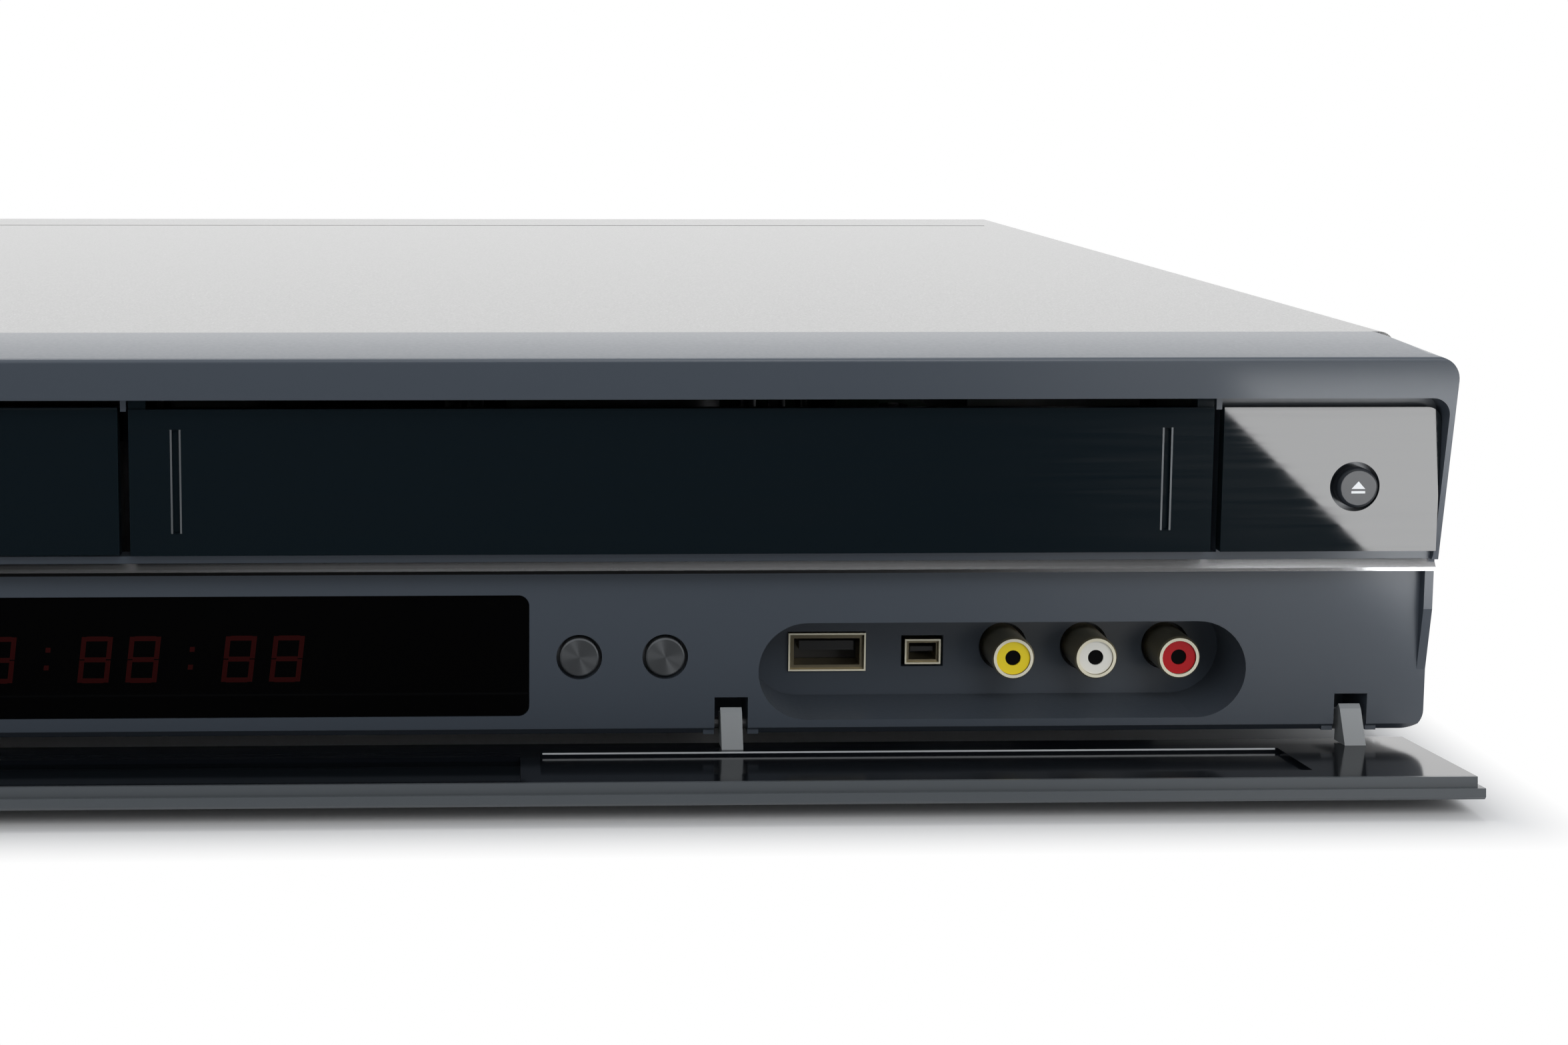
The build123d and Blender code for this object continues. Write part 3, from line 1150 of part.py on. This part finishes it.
MODEL = {
    "front_bezel": front_bezel,
    "chrome_trim": chrome_trim,
    "eject_panel": lambda: end_panel(1, (EJECT_X,)),
    "power_panel": lambda: end_panel(-1, END_BUTTON_X),
    "display_window": display_window,
    "display_tube": display_tube,
    "top_cover": top_cover,
    "chassis_pan": chassis_pan,
    "rear_panel": rear_panel,
    "feet": feet,
    "cover_screws": cover_screws,
    "hinge_pins": hinge_pins,
    "front_boards": front_boards,
    "main_board": main_board,
    "power_board": power_board,
    "rear_board": rear_board,
    "power_transformer": power_transformer,
    "usb_socket": usb_socket,
    "dv_socket": dv_socket,
    "front_socket_cores": front_socket_cores,
    "jack_shells": jack_shells,
    "jack_inserts_yellow": lambda: jack_inserts(("yellow",)),
    "jack_inserts_white": lambda: jack_inserts(("white",)),
    "jack_inserts_red": lambda: jack_inserts(("red",)),
    "jack_inserts_component": lambda: jack_inserts(("green", "blue")),
    "rear_jack_block": rear_jack_block,
    "aerial_sockets": aerial_sockets,
    "hdmi_socket": hdmi_socket,
    "mains_inlet": mains_inlet,
    "fan_frame": fan_frame,
    "fan_rotor": fan_rotor,
    "drive_housing": drive_housing,
    "drive_base": drive_base,
    "traverse_plate": traverse,
    "disc_tray": tray,
    "tray_front": tray_front,
    "tray_pinion": tray_pinion,
    "turntable": turntable,
    "disc_clamp": disc_clamp,
    "laser_sled": laser_sled,
    "deck_chassis": deck_chassis,
    "head_drum": head_drum,
    "capstan_flywheel": capstan,
    "supply_reel": lambda: reel(MIDDLE_X - HUB_SPACING / 2),
    "takeup_reel": lambda: reel(MIDDLE_X + HUB_SPACING / 2),
    "pinch_roller_arm": pinch_roller_arm,
    "cassette_carriage": cassette_carriage,
    "cassette_cage": cassette_cage,
    "front_flap": flap,
    "flap_window": flap_window,
    "flap_arms": flap_arms,
    "tape_door": tape_door,
    "tape_eject_button": lambda: end_button(EJECT_X),
    "disc_eject_button": lambda: end_button(END_BUTTON_X[0]),
    "power_button": lambda: end_button(END_BUTTON_X[1]),
    "source_button": lambda: round_button(RIGHT_BUTTON_X[0]),
    "resolution_button": lambda: round_button(RIGHT_BUTTON_X[1]),
    "record_button": lambda: round_button(LEFT_BUTTON_X[0]),
    "stop_button": lambda: round_button(LEFT_BUTTON_X[1]),
    "play_button": lambda: round_button(LEFT_BUTTON_X[2]),
}

os.makedirs("parts", exist_ok=True)
for name, make in MODEL.items():
    PARTS[name] = Pos(0, SHIFT_Y, 0) * make()
    export_step(PARTS[name], f"parts/{name}.step")
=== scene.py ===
import math

import bpy
from mathutils import Matrix, Vector


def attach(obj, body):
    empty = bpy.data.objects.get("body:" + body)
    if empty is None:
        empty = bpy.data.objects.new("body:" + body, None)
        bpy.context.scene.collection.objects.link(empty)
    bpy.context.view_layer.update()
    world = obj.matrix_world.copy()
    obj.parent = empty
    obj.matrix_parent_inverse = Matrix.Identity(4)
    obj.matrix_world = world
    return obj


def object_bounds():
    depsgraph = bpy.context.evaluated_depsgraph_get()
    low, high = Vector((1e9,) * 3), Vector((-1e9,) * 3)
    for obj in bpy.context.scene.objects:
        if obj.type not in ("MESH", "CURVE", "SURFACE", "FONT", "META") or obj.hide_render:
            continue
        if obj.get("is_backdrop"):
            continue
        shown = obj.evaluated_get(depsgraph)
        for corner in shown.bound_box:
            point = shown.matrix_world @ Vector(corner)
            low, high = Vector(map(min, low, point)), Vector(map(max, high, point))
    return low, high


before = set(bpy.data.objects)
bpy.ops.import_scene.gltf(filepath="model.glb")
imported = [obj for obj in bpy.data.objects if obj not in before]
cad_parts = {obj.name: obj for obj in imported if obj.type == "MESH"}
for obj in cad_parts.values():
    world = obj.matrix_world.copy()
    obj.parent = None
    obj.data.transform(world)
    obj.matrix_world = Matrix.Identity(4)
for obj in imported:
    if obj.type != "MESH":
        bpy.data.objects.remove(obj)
low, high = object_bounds()

MM = 0.001

# ---- camera, metres and degrees ----
TRIM_Y = -0.162873  # the plane of the chrome trim in this frame
CAMERA_AT = (0.04806, TRIM_Y - 0.34710, 0.12441)
CAMERA_YAW = 1.621
CAMERA_PITCH = 5.200
CAMERA_ROLL = 0.146
CAMERA_LENS = 45.40  # mm, on a sensor 36 mm wide
CAMERA_SHIFT = (0.136, -0.163)

# ---- floor and front flag, metres ----
FLOOR_REACH = 12.0
FLOOR_FADE = (0.0, 0.014)  # outside the object's box the floor goes over into white between these
FLAG_Y = -0.190
FLAG_SHAPE = (  # x, z of the corners
    (-0.9, 0.0),
    (0.249, 0.0),
    (0.183, 0.064),
    (0.256, 0.064),
    (0.256, 0.080),
    (-0.9, 0.080),
)

# ---- places on the object, mm: X and Z of the frame, Y from the trim plane ----
EJECT_FACE_Y = -3.1  # front of the end buttons
DISPLAY_FACE_Y = 3.2
UPPER_FACE_Y = -1.6  # front of the tape door
FLAP_LIP_Y = -21.3  # where the flap's front lips begin
FLAP_LIP_BLEND = 0.1
SIGN_LIFT = 0.03  # a sign's distance in front of its face
TAPE_EJECT_X = 198.6
DISC_EJECT_X = -185.6
POWER_X = -202.0
EJECT_Z = 53.4
POWER_Z = 53.3
EJECT_SIZE = 1.25
POWER_SIZE = 1.35
# the groove edges carry a painted highlight, between the two distances of GROOVE_EDGE
DOOR_GROOVES_X = (-11.7, 164.5)
GROOVE_EDGE = (0.62, 0.95)  # inner and outer side of an edge, from the groove's middle
GROOVE_Z = (45.6, 64.2)
JACKS_X = (140.7, 156.2, 171.8)
JACK_Z = 18.8
# radius, sides and depth of the near-black discs of painted shade inside the socket holes
JACK_HOLE_R = 1.44
JACK_HOLE_SIDES = 24
JACK_HOLLOW_Y = 10.55
# the rims' painted highlight spans these radii
JACK_RIM = (3.18, 3.72)  # inner and outer radius
JACK_RIM_STEPS = 32
JACK_FRONT_Y = 9.9
MOUTHS = ((107.1, 18.0, 7.35, 3.65), (125.3, 18.0, 3.4, 2.4))  # x, z, half width, half height
MOUTH_Y = 17.5
MOUTH_HIGHLIGHT_WIDTH = 0.32
# the label bed's edge carries a painted highlight at these places
BED_X = (53.0, 186.0)
BED_EDGE = ((-1.129, 5.175), (-1.156, 4.877))  # y, z along the top of the label bed's rear wall
DISPLAY_TEXT = "8:88:88"
DIGIT_LEFT_X = -48
DIGIT_PITCH = 8.6
DIGIT_Z = 17.2
DIGIT_WIDTH = 5.6
DIGIT_HEIGHT = 8.6
DIGIT_THICK = 0.9
DIGIT_LEAN = 0.12
DIGIT_GAP = 0.1  # at each end of an upright bar
COLON_DOTS = (0.28, 0.66)  # shares of the height

# ---- finish of the flap ----
FLAP_BLACK = (0.0045, 0.0055, 0.0075)
FLAP_ROUGH = 0.12
LIP_GREY = (0.085, 0.095, 0.104)
LIP_ROUGH = 0.30


# ---- materials ----
def shader_of(name):
    mat = bpy.data.materials.get(name) or bpy.data.materials.new(name)
    mat.use_nodes = True
    tree = mat.node_tree
    tree.nodes.clear()
    out = tree.nodes.new("ShaderNodeOutputMaterial")
    shader = tree.nodes.new("ShaderNodeBsdfPrincipled")
    tree.links.new(shader.outputs["BSDF"], out.inputs["Surface"])
    return mat, tree, shader


def noise(tree, scale, stretch=(1, 1, 1), detail=4.0):
    place = tree.nodes.new("ShaderNodeTexCoord")
    turn = tree.nodes.new("ShaderNodeMapping")
    turn.inputs["Scale"].default_value = stretch
    grain = tree.nodes.new("ShaderNodeTexNoise")
    grain.inputs["Scale"].default_value = scale
    grain.inputs["Detail"].default_value = detail
    tree.links.new(place.outputs["Object"], turn.inputs["Vector"])
    tree.links.new(turn.outputs["Vector"], grain.inputs["Vector"])
    return grain


def add_bump(tree, shader, grain, strength, depth):
    bump = tree.nodes.new("ShaderNodeBump")
    bump.inputs["Strength"].default_value = strength
    bump.inputs["Distance"].default_value = depth
    tree.links.new(grain.outputs["Fac"], bump.inputs["Height"])
    tree.links.new(bump.outputs["Normal"], shader.inputs["Normal"])


def add_roughness(tree, shader, grain, least, most):
    span = tree.nodes.new("ShaderNodeMapRange")
    span.inputs["From Min"].default_value = 0.3
    span.inputs["From Max"].default_value = 0.7
    span.inputs["To Min"].default_value = least
    span.inputs["To Max"].default_value = most
    tree.links.new(grain.outputs["Fac"], span.inputs["Value"])
    tree.links.new(span.outputs["Result"], shader.inputs["Roughness"])


def look(name, color, rough, metal=0.0, specular=0.5, coat=0.0, grain=None, bump=0.0, spread=0.0):
    """One finish. grain = (scale, stretch); bump in metres of depth; spread of the roughness."""
    mat, tree, shader = shader_of(name)
    shader.inputs["Base Color"].default_value = (*color, 1)
    shader.inputs["Roughness"].default_value = rough
    shader.inputs["Metallic"].default_value = metal
    shader.inputs["Specular IOR Level"].default_value = specular
    shader.inputs["Coat Weight"].default_value = coat
    if grain:
        texture = noise(tree, *grain)
        if bump:
            add_bump(tree, shader, texture, 0.5, bump)
        if spread:
            add_roughness(tree, shader, texture, max(rough - spread, 0.02), rough + spread)
    return mat, tree, shader


FINE = (2600.0, (1, 1, 1))
MOULD = (1400.0, (1, 1, 1))
BRUSHED_X = (900.0, (0.03, 1, 1))
SMEAR = (60.0, (0.25, 1, 1))

look("cover_steel", (0.185, 0.185, 0.185), 0.31, metal=0.9, grain=FINE, bump=0.00003, spread=0.04)
look("front_plastic", (0.058, 0.071, 0.090), 0.33, specular=0.42, grain=MOULD, spread=0.02)
look("gloss_panel", (0.0052, 0.0092, 0.0122), 0.10, grain=BRUSHED_X, bump=0.000002, spread=0.04)
look("trim_chrome", (0.82, 0.83, 0.85), 0.18, metal=1.0)
look("display_glass", (0.0015, 0.0015, 0.0016), 0.05, specular=0.35)
look("steel_sheet", (0.52, 0.53, 0.54), 0.36, metal=1.0, grain=SMEAR, spread=0.08)
look("foot_rubber", (0.020, 0.020, 0.021), 0.72, grain=MOULD, bump=0.00003)
look("screw_steel", (0.10, 0.10, 0.105), 0.34, metal=1.0)
look("board", (0.030, 0.125, 0.058), 0.42, grain=SMEAR, spread=0.1)
look("core_steel", (0.26, 0.25, 0.24), 0.5, metal=0.9, grain=(2200.0, (0.02, 0.02, 1)), bump=0.00003)
look("socket_metal", (0.72, 0.63, 0.42), 0.28, metal=0.95)
look("plated_metal", (0.72, 0.71, 0.68), 0.22, metal=1.0)
look("insert_yellow", (0.95, 0.74, 0.02), 0.45, specular=0.2)
look("insert_white", (0.92, 0.91, 0.84), 0.45, specular=0.2)
look("insert_red", (0.56, 0.008, 0.014), 0.45, specular=0.12)
look("insert_component", (0.015, 0.16, 0.060), 0.42)
look("black_plastic", (0.014, 0.014, 0.015), 0.48, grain=MOULD, bump=0.00002)
look("drive_plastic", (0.030, 0.031, 0.034), 0.46, grain=MOULD, bump=0.00002)
look("gear_plastic", (0.72, 0.72, 0.67), 0.4)
look("aluminium", (0.74, 0.75, 0.76), 0.2, metal=1.0, grain=(3000.0, (0.02, 0.02, 1)), bump=0.00001)
look("arm_plastic", (0.25, 0.265, 0.275), 0.42, specular=0.3, grain=MOULD, bump=0.00001)
look("window_smoke", (0.002, 0.003, 0.004), 0.07, specular=0.2)
look("roller_rubber", (0.015, 0.015, 0.015), 0.8)

# spun face of the round buttons: fine circular grooves
_, tree, shader = look("button_metal", (0.17, 0.18, 0.19), 0.38, metal=0.7)
shader.inputs["Anisotropic"].default_value = 0.85
spin = tree.nodes.new("ShaderNodeTangent")
spin.direction_type = "RADIAL"
spin.axis = "Y"
tree.links.new(spin.outputs["Tangent"], shader.inputs["Tangent"])

sign_white, _, _ = look("sign_white", (0.72, 0.74, 0.76), 0.5)
# painted highlight: paler than the door, for the groove edges
painted_groove_highlight, _, _ = look("painted_groove_highlight", (0.16, 0.17, 0.18), 0.35, metal=0.4)
# painted highlight: pale grey for the label bed's edge
painted_bed_highlight, _, _ = look("painted_bed_highlight", (0.50, 0.52, 0.54), 0.4)
# painted highlight: a pale gold, brighter than the plated metal beneath, for the socket rims and the
# flat sockets' mouths
painted_rim_highlight, _, _ = look("painted_rim_highlight", (0.95, 0.90, 0.70), 0.3, metal=0.1)
# painted shade: near-black for the discs inside the socket holes
painted_hollow_shade, _, _ = look("painted_hollow_shade", (0.004, 0.004, 0.004), 0.9, specular=0.05)
digit_red, _, _ = look("digit_red", (0.022, 0.002, 0.002), 0.8, specular=0.05)

# the three end buttons: dark domes
button_dark, _, _ = look(
    "button_dark", (0.018, 0.021, 0.026), 0.24, specular=0.22, grain=MOULD, spread=0.02
)
for node in ("tape_eject_button", "disc_eject_button", "power_button"):
    bpy.data.objects[node].material_slots[0].material = button_dark

# the flap: glossy black on its inner face, satin grey along its front lips
flap_mat, tree, shader = look("flap_finish", FLAP_BLACK, FLAP_ROUGH)
place = tree.nodes.new("ShaderNodeTexCoord")
axes = tree.nodes.new("ShaderNodeSeparateXYZ")
lips = tree.nodes.new("ShaderNodeMapRange")
lips.inputs["From Min"].default_value = TRIM_Y + (FLAP_LIP_Y + FLAP_LIP_BLEND) * MM
lips.inputs["From Max"].default_value = TRIM_Y + (FLAP_LIP_Y - FLAP_LIP_BLEND) * MM
tint = tree.nodes.new("ShaderNodeMixRGB")
tint.inputs["Color1"].default_value = (*FLAP_BLACK, 1)
tint.inputs["Color2"].default_value = (*LIP_GREY, 1)
rough = tree.nodes.new("ShaderNodeMapRange")
rough.inputs["To Min"].default_value = FLAP_ROUGH
rough.inputs["To Max"].default_value = LIP_ROUGH
tree.links.new(place.outputs["Object"], axes.inputs["Vector"])
tree.links.new(axes.outputs["Y"], lips.inputs["Value"])
tree.links.new(lips.outputs["Result"], tint.inputs["Fac"])
tree.links.new(lips.outputs["Result"], rough.inputs["Value"])
tree.links.new(tint.outputs["Color"], shader.inputs["Base Color"])
tree.links.new(rough.outputs["Result"], shader.inputs["Roughness"])
bpy.data.objects["front_flap"].material_slots[0].material = flap_mat

# ---- rounded edges of the front pieces ----
SOFT_EDGES = {
    "front_bezel": 0.30,
    "top_cover": 0.20,
    "chrome_trim": 0.15,
    "tape_door": 0.25,
    "tray_front": 0.25,
    "eject_panel": 0.25,
    "power_panel": 0.25,
    "front_flap": 0.25,
    "flap_arms": 0.20,
}
for node, width in SOFT_EDGES.items():
    piece = bpy.data.objects[node]
    edge = piece.modifiers.new("soft edges", "BEVEL")
    edge.width = width * MM
    edge.segments = 2
    edge.limit_method = "ANGLE"
    edge.angle_limit = math.radians(50)
    edge.harden_normals = False


# ---- signs, digits, painted highlights and painted shade, drawn as thin plates ----
def thin_piece(name, points, faces, mat, body):
    """points: x, y, z in mm, with y from the trim plane. The piece rides on body."""
    mesh = bpy.data.meshes.new(name)
    mesh.from_pydata([(x * MM, TRIM_Y + y * MM, z * MM) for x, y, z in points], [], faces)
    mesh.materials.append(mat)
    piece = bpy.data.objects.new(name, mesh)
    bpy.context.scene.collection.objects.link(piece)
    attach(piece, body)


def flat_plate(name, outlines, y, mat, body):
    """outlines: lists of (x, z) in mm; y from the trim plane in mm."""
    points, faces = [], []
    for outline in outlines:
        start = len(points)
        points += [(x, y, z) for x, z in outline]
        faces.append(list(range(start, start + len(outline))))
    thin_piece(name, points, faces, mat, body)


def eject_sign(x, z, size):
    triangle = [(x - size, z - 0.1 * size), (x + size, z - 0.1 * size), (x, z + size)]
    bar = [
        (x - size, z - 0.75 * size),
        (x + size, z - 0.75 * size),
        (x + size, z - 0.4 * size),
        (x - size, z - 0.4 * size),
    ]
    return [triangle, bar]


def power_sign(x, z, size):
    parts = []
    for k in range(20):
        a0, a1 = (math.radians(125 + k * 14.5), math.radians(125 + (k + 1) * 14.5))
        inner, outer = size * 0.78, size
        parts.append(
            [
                (x + inner * math.cos(a0), z + inner * math.sin(a0)),
                (x + outer * math.cos(a0), z + outer * math.sin(a0)),
                (x + outer * math.cos(a1), z + outer * math.sin(a1)),
                (x + inner * math.cos(a1), z + inner * math.sin(a1)),
            ]
        )
    w = size * 0.11
    foot, top = z + 0.2 * size, z + 1.1 * size
    parts.append([(x - w, foot), (x + w, foot), (x + w, top), (x - w, top)])
    return parts


def digit(sign, x):
    """Seven-segment figure or colon with its left side at x."""
    z, width, height, thick = DIGIT_Z, DIGIT_WIDTH, DIGIT_HEIGHT, DIGIT_THICK
    middle = z + height / 2
    upright = height / 2 - 2 * DIGIT_GAP
    right_x = x + width - thick
    if sign == ":":
        plates = [(x + width / 2 - thick / 2, z + height * part, thick, thick) for part in COLON_DOTS]
    else:
        plates = [
            (x + thick, z + height - thick, width - 2 * thick, thick),
            (right_x, middle + DIGIT_GAP, thick, upright),
            (right_x, z + DIGIT_GAP, thick, upright),
            (x + thick, z, width - 2 * thick, thick),
            (x, z + DIGIT_GAP, thick, upright),
            (x, middle + DIGIT_GAP, thick, upright),
            (x + thick, middle - thick / 2, width - 2 * thick, thick),
        ]
    return [
        [
            (px + DIGIT_LEAN * (pz - z), pz),
            (px + w + DIGIT_LEAN * (pz - z), pz),
            (px + w + DIGIT_LEAN * (pz + h - z), pz + h),
            (px + DIGIT_LEAN * (pz + h - z), pz + h),
        ]
        for px, pz, w, h in plates
    ]


def arc_points(x, z, places):
    """Points at each (radius, angle) round x, z."""
    return [(x + r * math.cos(a), z + r * math.sin(a)) for r, a in places]


# painted highlights along the edges of the two upright grooves in the tape door
edges = []
low_z, top_z = GROOVE_Z
for groove_x in DOOR_GROOVES_X:
    for side in (-1, 1):
        x0, x1 = sorted(groove_x + side * edge for edge in GROOVE_EDGE)
        edges.append([(x0, low_z), (x1, low_z), (x1, top_z), (x0, top_z)])
flat_plate("door_groove_edges", edges, UPPER_FACE_Y - SIGN_LIFT, painted_groove_highlight, "tape_door")

# painted highlights on the rims and painted shade in the hollows of the three round sockets in front
rim_highlights, hollow_shades = [], []
inner, outer = JACK_RIM
for jack_x in JACKS_X:
    turns = [math.radians(k * 360 / JACK_HOLE_SIDES) for k in range(JACK_HOLE_SIDES)]
    hollow_shades.append(arc_points(jack_x, JACK_Z, [(JACK_HOLE_R, a) for a in turns]))
    for k in range(JACK_RIM_STEPS):
        a0, a1 = (math.radians(step * 360 / JACK_RIM_STEPS) for step in (k, k + 1))
        rim_highlights.append(arc_points(jack_x, JACK_Z, ((inner, a0), (outer, a0), (outer, a1), (inner, a1))))
flat_plate("jack_rims", rim_highlights, JACK_FRONT_Y - SIGN_LIFT, painted_rim_highlight, "casing")

# painted highlights round the mouths of the two flat sockets
mouth_lines = []
line = MOUTH_HIGHLIGHT_WIDTH
for x, z, half_w, half_h in MOUTHS:
    for x0, x1, z0, z1 in (
        (x - half_w, x + half_w, z + half_h - line, z + half_h),
        (x - half_w, x + half_w, z - half_h, z - half_h + line),
        (x - half_w, x - half_w + line, z - half_h + line, z + half_h - line),
        (x + half_w - line, x + half_w, z - half_h + line, z + half_h - line),
    ):
        mouth_lines.append([(x0, z0), (x1, z0), (x1, z1), (x0, z1)])
flat_plate("mouth_lines", mouth_lines, MOUTH_Y - SIGN_LIFT, painted_rim_highlight, "casing")

# painted highlight along the edge of the flap's label bed
(x0, x1), ((y0, z0), (y1, z1)) = BED_X, BED_EDGE
bed_corners = ((x0, y0, z0), (x1, y0, z0), (x1, y1, z1), (x0, y1, z1))
thin_piece("label_bed_edge", bed_corners, [(0, 1, 2, 3)], painted_bed_highlight, "flap")
# painted shade: near-black discs inside the socket holes
flat_plate("jack_hollows", hollow_shades, JACK_HOLLOW_Y, painted_hollow_shade, "casing")

# signs on the end buttons, and the display's figures
for name, outlines, body in (
    ("tape_eject_sign", eject_sign(TAPE_EJECT_X, EJECT_Z, EJECT_SIZE), "tape_eject_button"),
    ("disc_eject_sign", eject_sign(DISC_EJECT_X, EJECT_Z, EJECT_SIZE), "disc_eject_button"),
    ("power_sign", power_sign(POWER_X, POWER_Z, POWER_SIZE), "power_button"),
):
    flat_plate(name, outlines, EJECT_FACE_Y - SIGN_LIFT, sign_white, body)
figures = []
for place, sign in enumerate(DISPLAY_TEXT):
    figures += digit(sign, DIGIT_LEFT_X + place * DIGIT_PITCH)
flat_plate("display_figures", figures, DISPLAY_FACE_Y - SIGN_LIFT, digit_red, "casing")


# ---- floor, world and lamps ----
def background_rays(tree):
    """1 for camera, glossy and transmission rays, 0 for the rays that light the object."""
    ray = tree.nodes.new("ShaderNodeLightPath")
    total = None
    for kind in ("Is Camera Ray", "Is Glossy Ray", "Is Transmission Ray"):
        if total is None:
            total = ray.outputs[kind]
            continue
        add = tree.nodes.new("ShaderNodeMath")
        add.operation = "ADD"
        add.use_clamp = True
        tree.links.new(total, add.inputs[0])
        tree.links.new(ray.outputs[kind], add.inputs[1])
        total = add.outputs[0]
    return total


bpy.ops.mesh.primitive_plane_add(size=2 * FLOOR_REACH, location=(0, 0, 0))
floor = bpy.context.object
floor.name = "floor"
floor_mat, tree, shader = look("floor_white", (0.84, 0.84, 0.845), 0.9, specular=0.1)
floor.data.materials.append(floor_mat)
white = tree.nodes.new("ShaderNodeEmission")
white.inputs["Strength"].default_value = 1.0
place = tree.nodes.new("ShaderNodeTexCoord")
fold = tree.nodes.new("ShaderNodeVectorMath")
fold.operation = "ABSOLUTE"
beside = tree.nodes.new("ShaderNodeVectorMath")
beside.operation = "SUBTRACT"
beside.inputs[1].default_value = (high.x, high.y, 0)
outside = tree.nodes.new("ShaderNodeVectorMath")
outside.operation = "MAXIMUM"
outside.inputs[1].default_value = (0, 0, 0)
away = tree.nodes.new("ShaderNodeVectorMath")
away.operation = "LENGTH"
fade = tree.nodes.new("ShaderNodeMapRange")
fade.inputs["From Min"].default_value = FLOOR_FADE[0]
fade.inputs["From Max"].default_value = FLOOR_FADE[1]
both = tree.nodes.new("ShaderNodeMath")
both.operation = "MULTIPLY"
blend = tree.nodes.new("ShaderNodeMixShader")
tree.links.new(place.outputs["Object"], fold.inputs[0])
tree.links.new(fold.outputs["Vector"], beside.inputs[0])
tree.links.new(beside.outputs["Vector"], outside.inputs[0])
tree.links.new(outside.outputs["Vector"], away.inputs[0])
tree.links.new(away.outputs["Value"], fade.inputs["Value"])
tree.links.new(fade.outputs["Result"], both.inputs[0])
tree.links.new(background_rays(tree), both.inputs[1])
tree.links.new(both.outputs[0], blend.inputs["Fac"])
tree.links.new(shader.outputs["BSDF"], blend.inputs[1])
tree.links.new(white.outputs["Emission"], blend.inputs[2])
tree.links.new(blend.outputs["Shader"], tree.nodes["Material Output"].inputs["Surface"])
floor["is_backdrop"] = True

world = bpy.data.worlds.new("studio")
bpy.context.scene.world = world
world.use_nodes = True
sky = world.node_tree
sky.nodes.clear()
sky_out = sky.nodes.new("ShaderNodeOutputWorld")
seen = sky.nodes.new("ShaderNodeBackground")
seen.inputs["Color"].default_value = (1, 1, 1, 1)
seen.inputs["Strength"].default_value = 1.0
room = sky.nodes.new("ShaderNodeBackground")
room.inputs["Color"].default_value = (0.96, 0.98, 1.0, 1)
room.inputs["Strength"].default_value = 0.64
pick = sky.nodes.new("ShaderNodeMixShader")
sky.links.new(background_rays(sky), pick.inputs["Fac"])
sky.links.new(room.outputs["Background"], pick.inputs[1])
sky.links.new(seen.outputs["Background"], pick.inputs[2])
sky.links.new(pick.outputs["Shader"], sky_out.inputs["Surface"])


def lamp(name, at, toward, size, radiance, gloss_only=False):
    """Rectangular lamp; radiance 1 looks white. A gloss-only lamp is seen in reflections alone."""
    data = bpy.data.lights.new(name, "AREA")
    data.shape = "RECTANGLE"
    data.size, data.size_y = size
    data.energy = radiance * math.pi * size[0] * size[1]
    item = bpy.data.objects.new(name, data)
    item.rotation_euler = (Vector(toward) - Vector(at)).to_track_quat("-Z", "Y").to_euler()
    item.location = at
    item.visible_camera = False
    item.visible_diffuse = not gloss_only
    bpy.context.scene.collection.objects.link(item)
    return item


lamp("top_softbox", (-0.08, 0.30, 1.30), (0.0, 0.0, 0.0), (1.0, 0.5), 5.2)
lamp("front_fill", (0.40, -1.10, 0.85), (0.05, -0.10, 0.03), (0.8, 0.6), 3.0)
lamp("back_card", (0.0, 1.6, 0.45), (0.0, 0.0, 0.08), (4.0, 0.9), 0.6, gloss_only=True)
lamp("right_card", (0.41, -0.30, 0.038), (0.41, 0.0, 0.038), (0.40, 0.076), 8.5, gloss_only=True)

# dark flag in front of the flap, seen only in the gloss of the front faces
flag_mesh = bpy.data.meshes.new("front_flag")
flag_mesh.from_pydata([(x, FLAG_Y, z) for x, z in FLAG_SHAPE], [], [tuple(range(len(FLAG_SHAPE)))])
flag_mat, _, _ = look("flag_black", (0.02, 0.02, 0.02), 0.9, specular=0.0)
flag_mesh.materials.append(flag_mat)
flag = bpy.data.objects.new("front_flag", flag_mesh)
bpy.context.scene.collection.objects.link(flag)
flag.visible_camera = False
flag.visible_diffuse = False
flag.visible_shadow = False
flag.visible_transmission = False
flag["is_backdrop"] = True

# ---- camera ----
yaw, pitch, roll = (math.radians(a) for a in (CAMERA_YAW, CAMERA_PITCH, CAMERA_ROLL))
ahead = Vector((math.sin(yaw) * math.cos(pitch), math.cos(yaw) * math.cos(pitch), -math.sin(pitch)))
right = Vector((math.cos(yaw), -math.sin(yaw), 0))
up = right.cross(ahead)
right_rolled = math.cos(roll) * right + math.sin(roll) * up
up_rolled = -math.sin(roll) * right + math.cos(roll) * up
lens = bpy.data.cameras.new("camera")
lens.sensor_width = 36
lens.lens = CAMERA_LENS
lens.shift_x, lens.shift_y = CAMERA_SHIFT
lens.clip_start, lens.clip_end = 0.01, 60
camera = bpy.data.objects.new("camera", lens)
camera.matrix_world = Matrix.Translation(CAMERA_AT) @ Matrix(
    (right_rolled, up_rolled, -ahead)
).transposed().to_4x4()
bpy.context.scene.collection.objects.link(camera)
bpy.context.scene.camera = camera
bpy.context.scene.view_settings.view_transform = "Standard"

low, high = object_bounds()
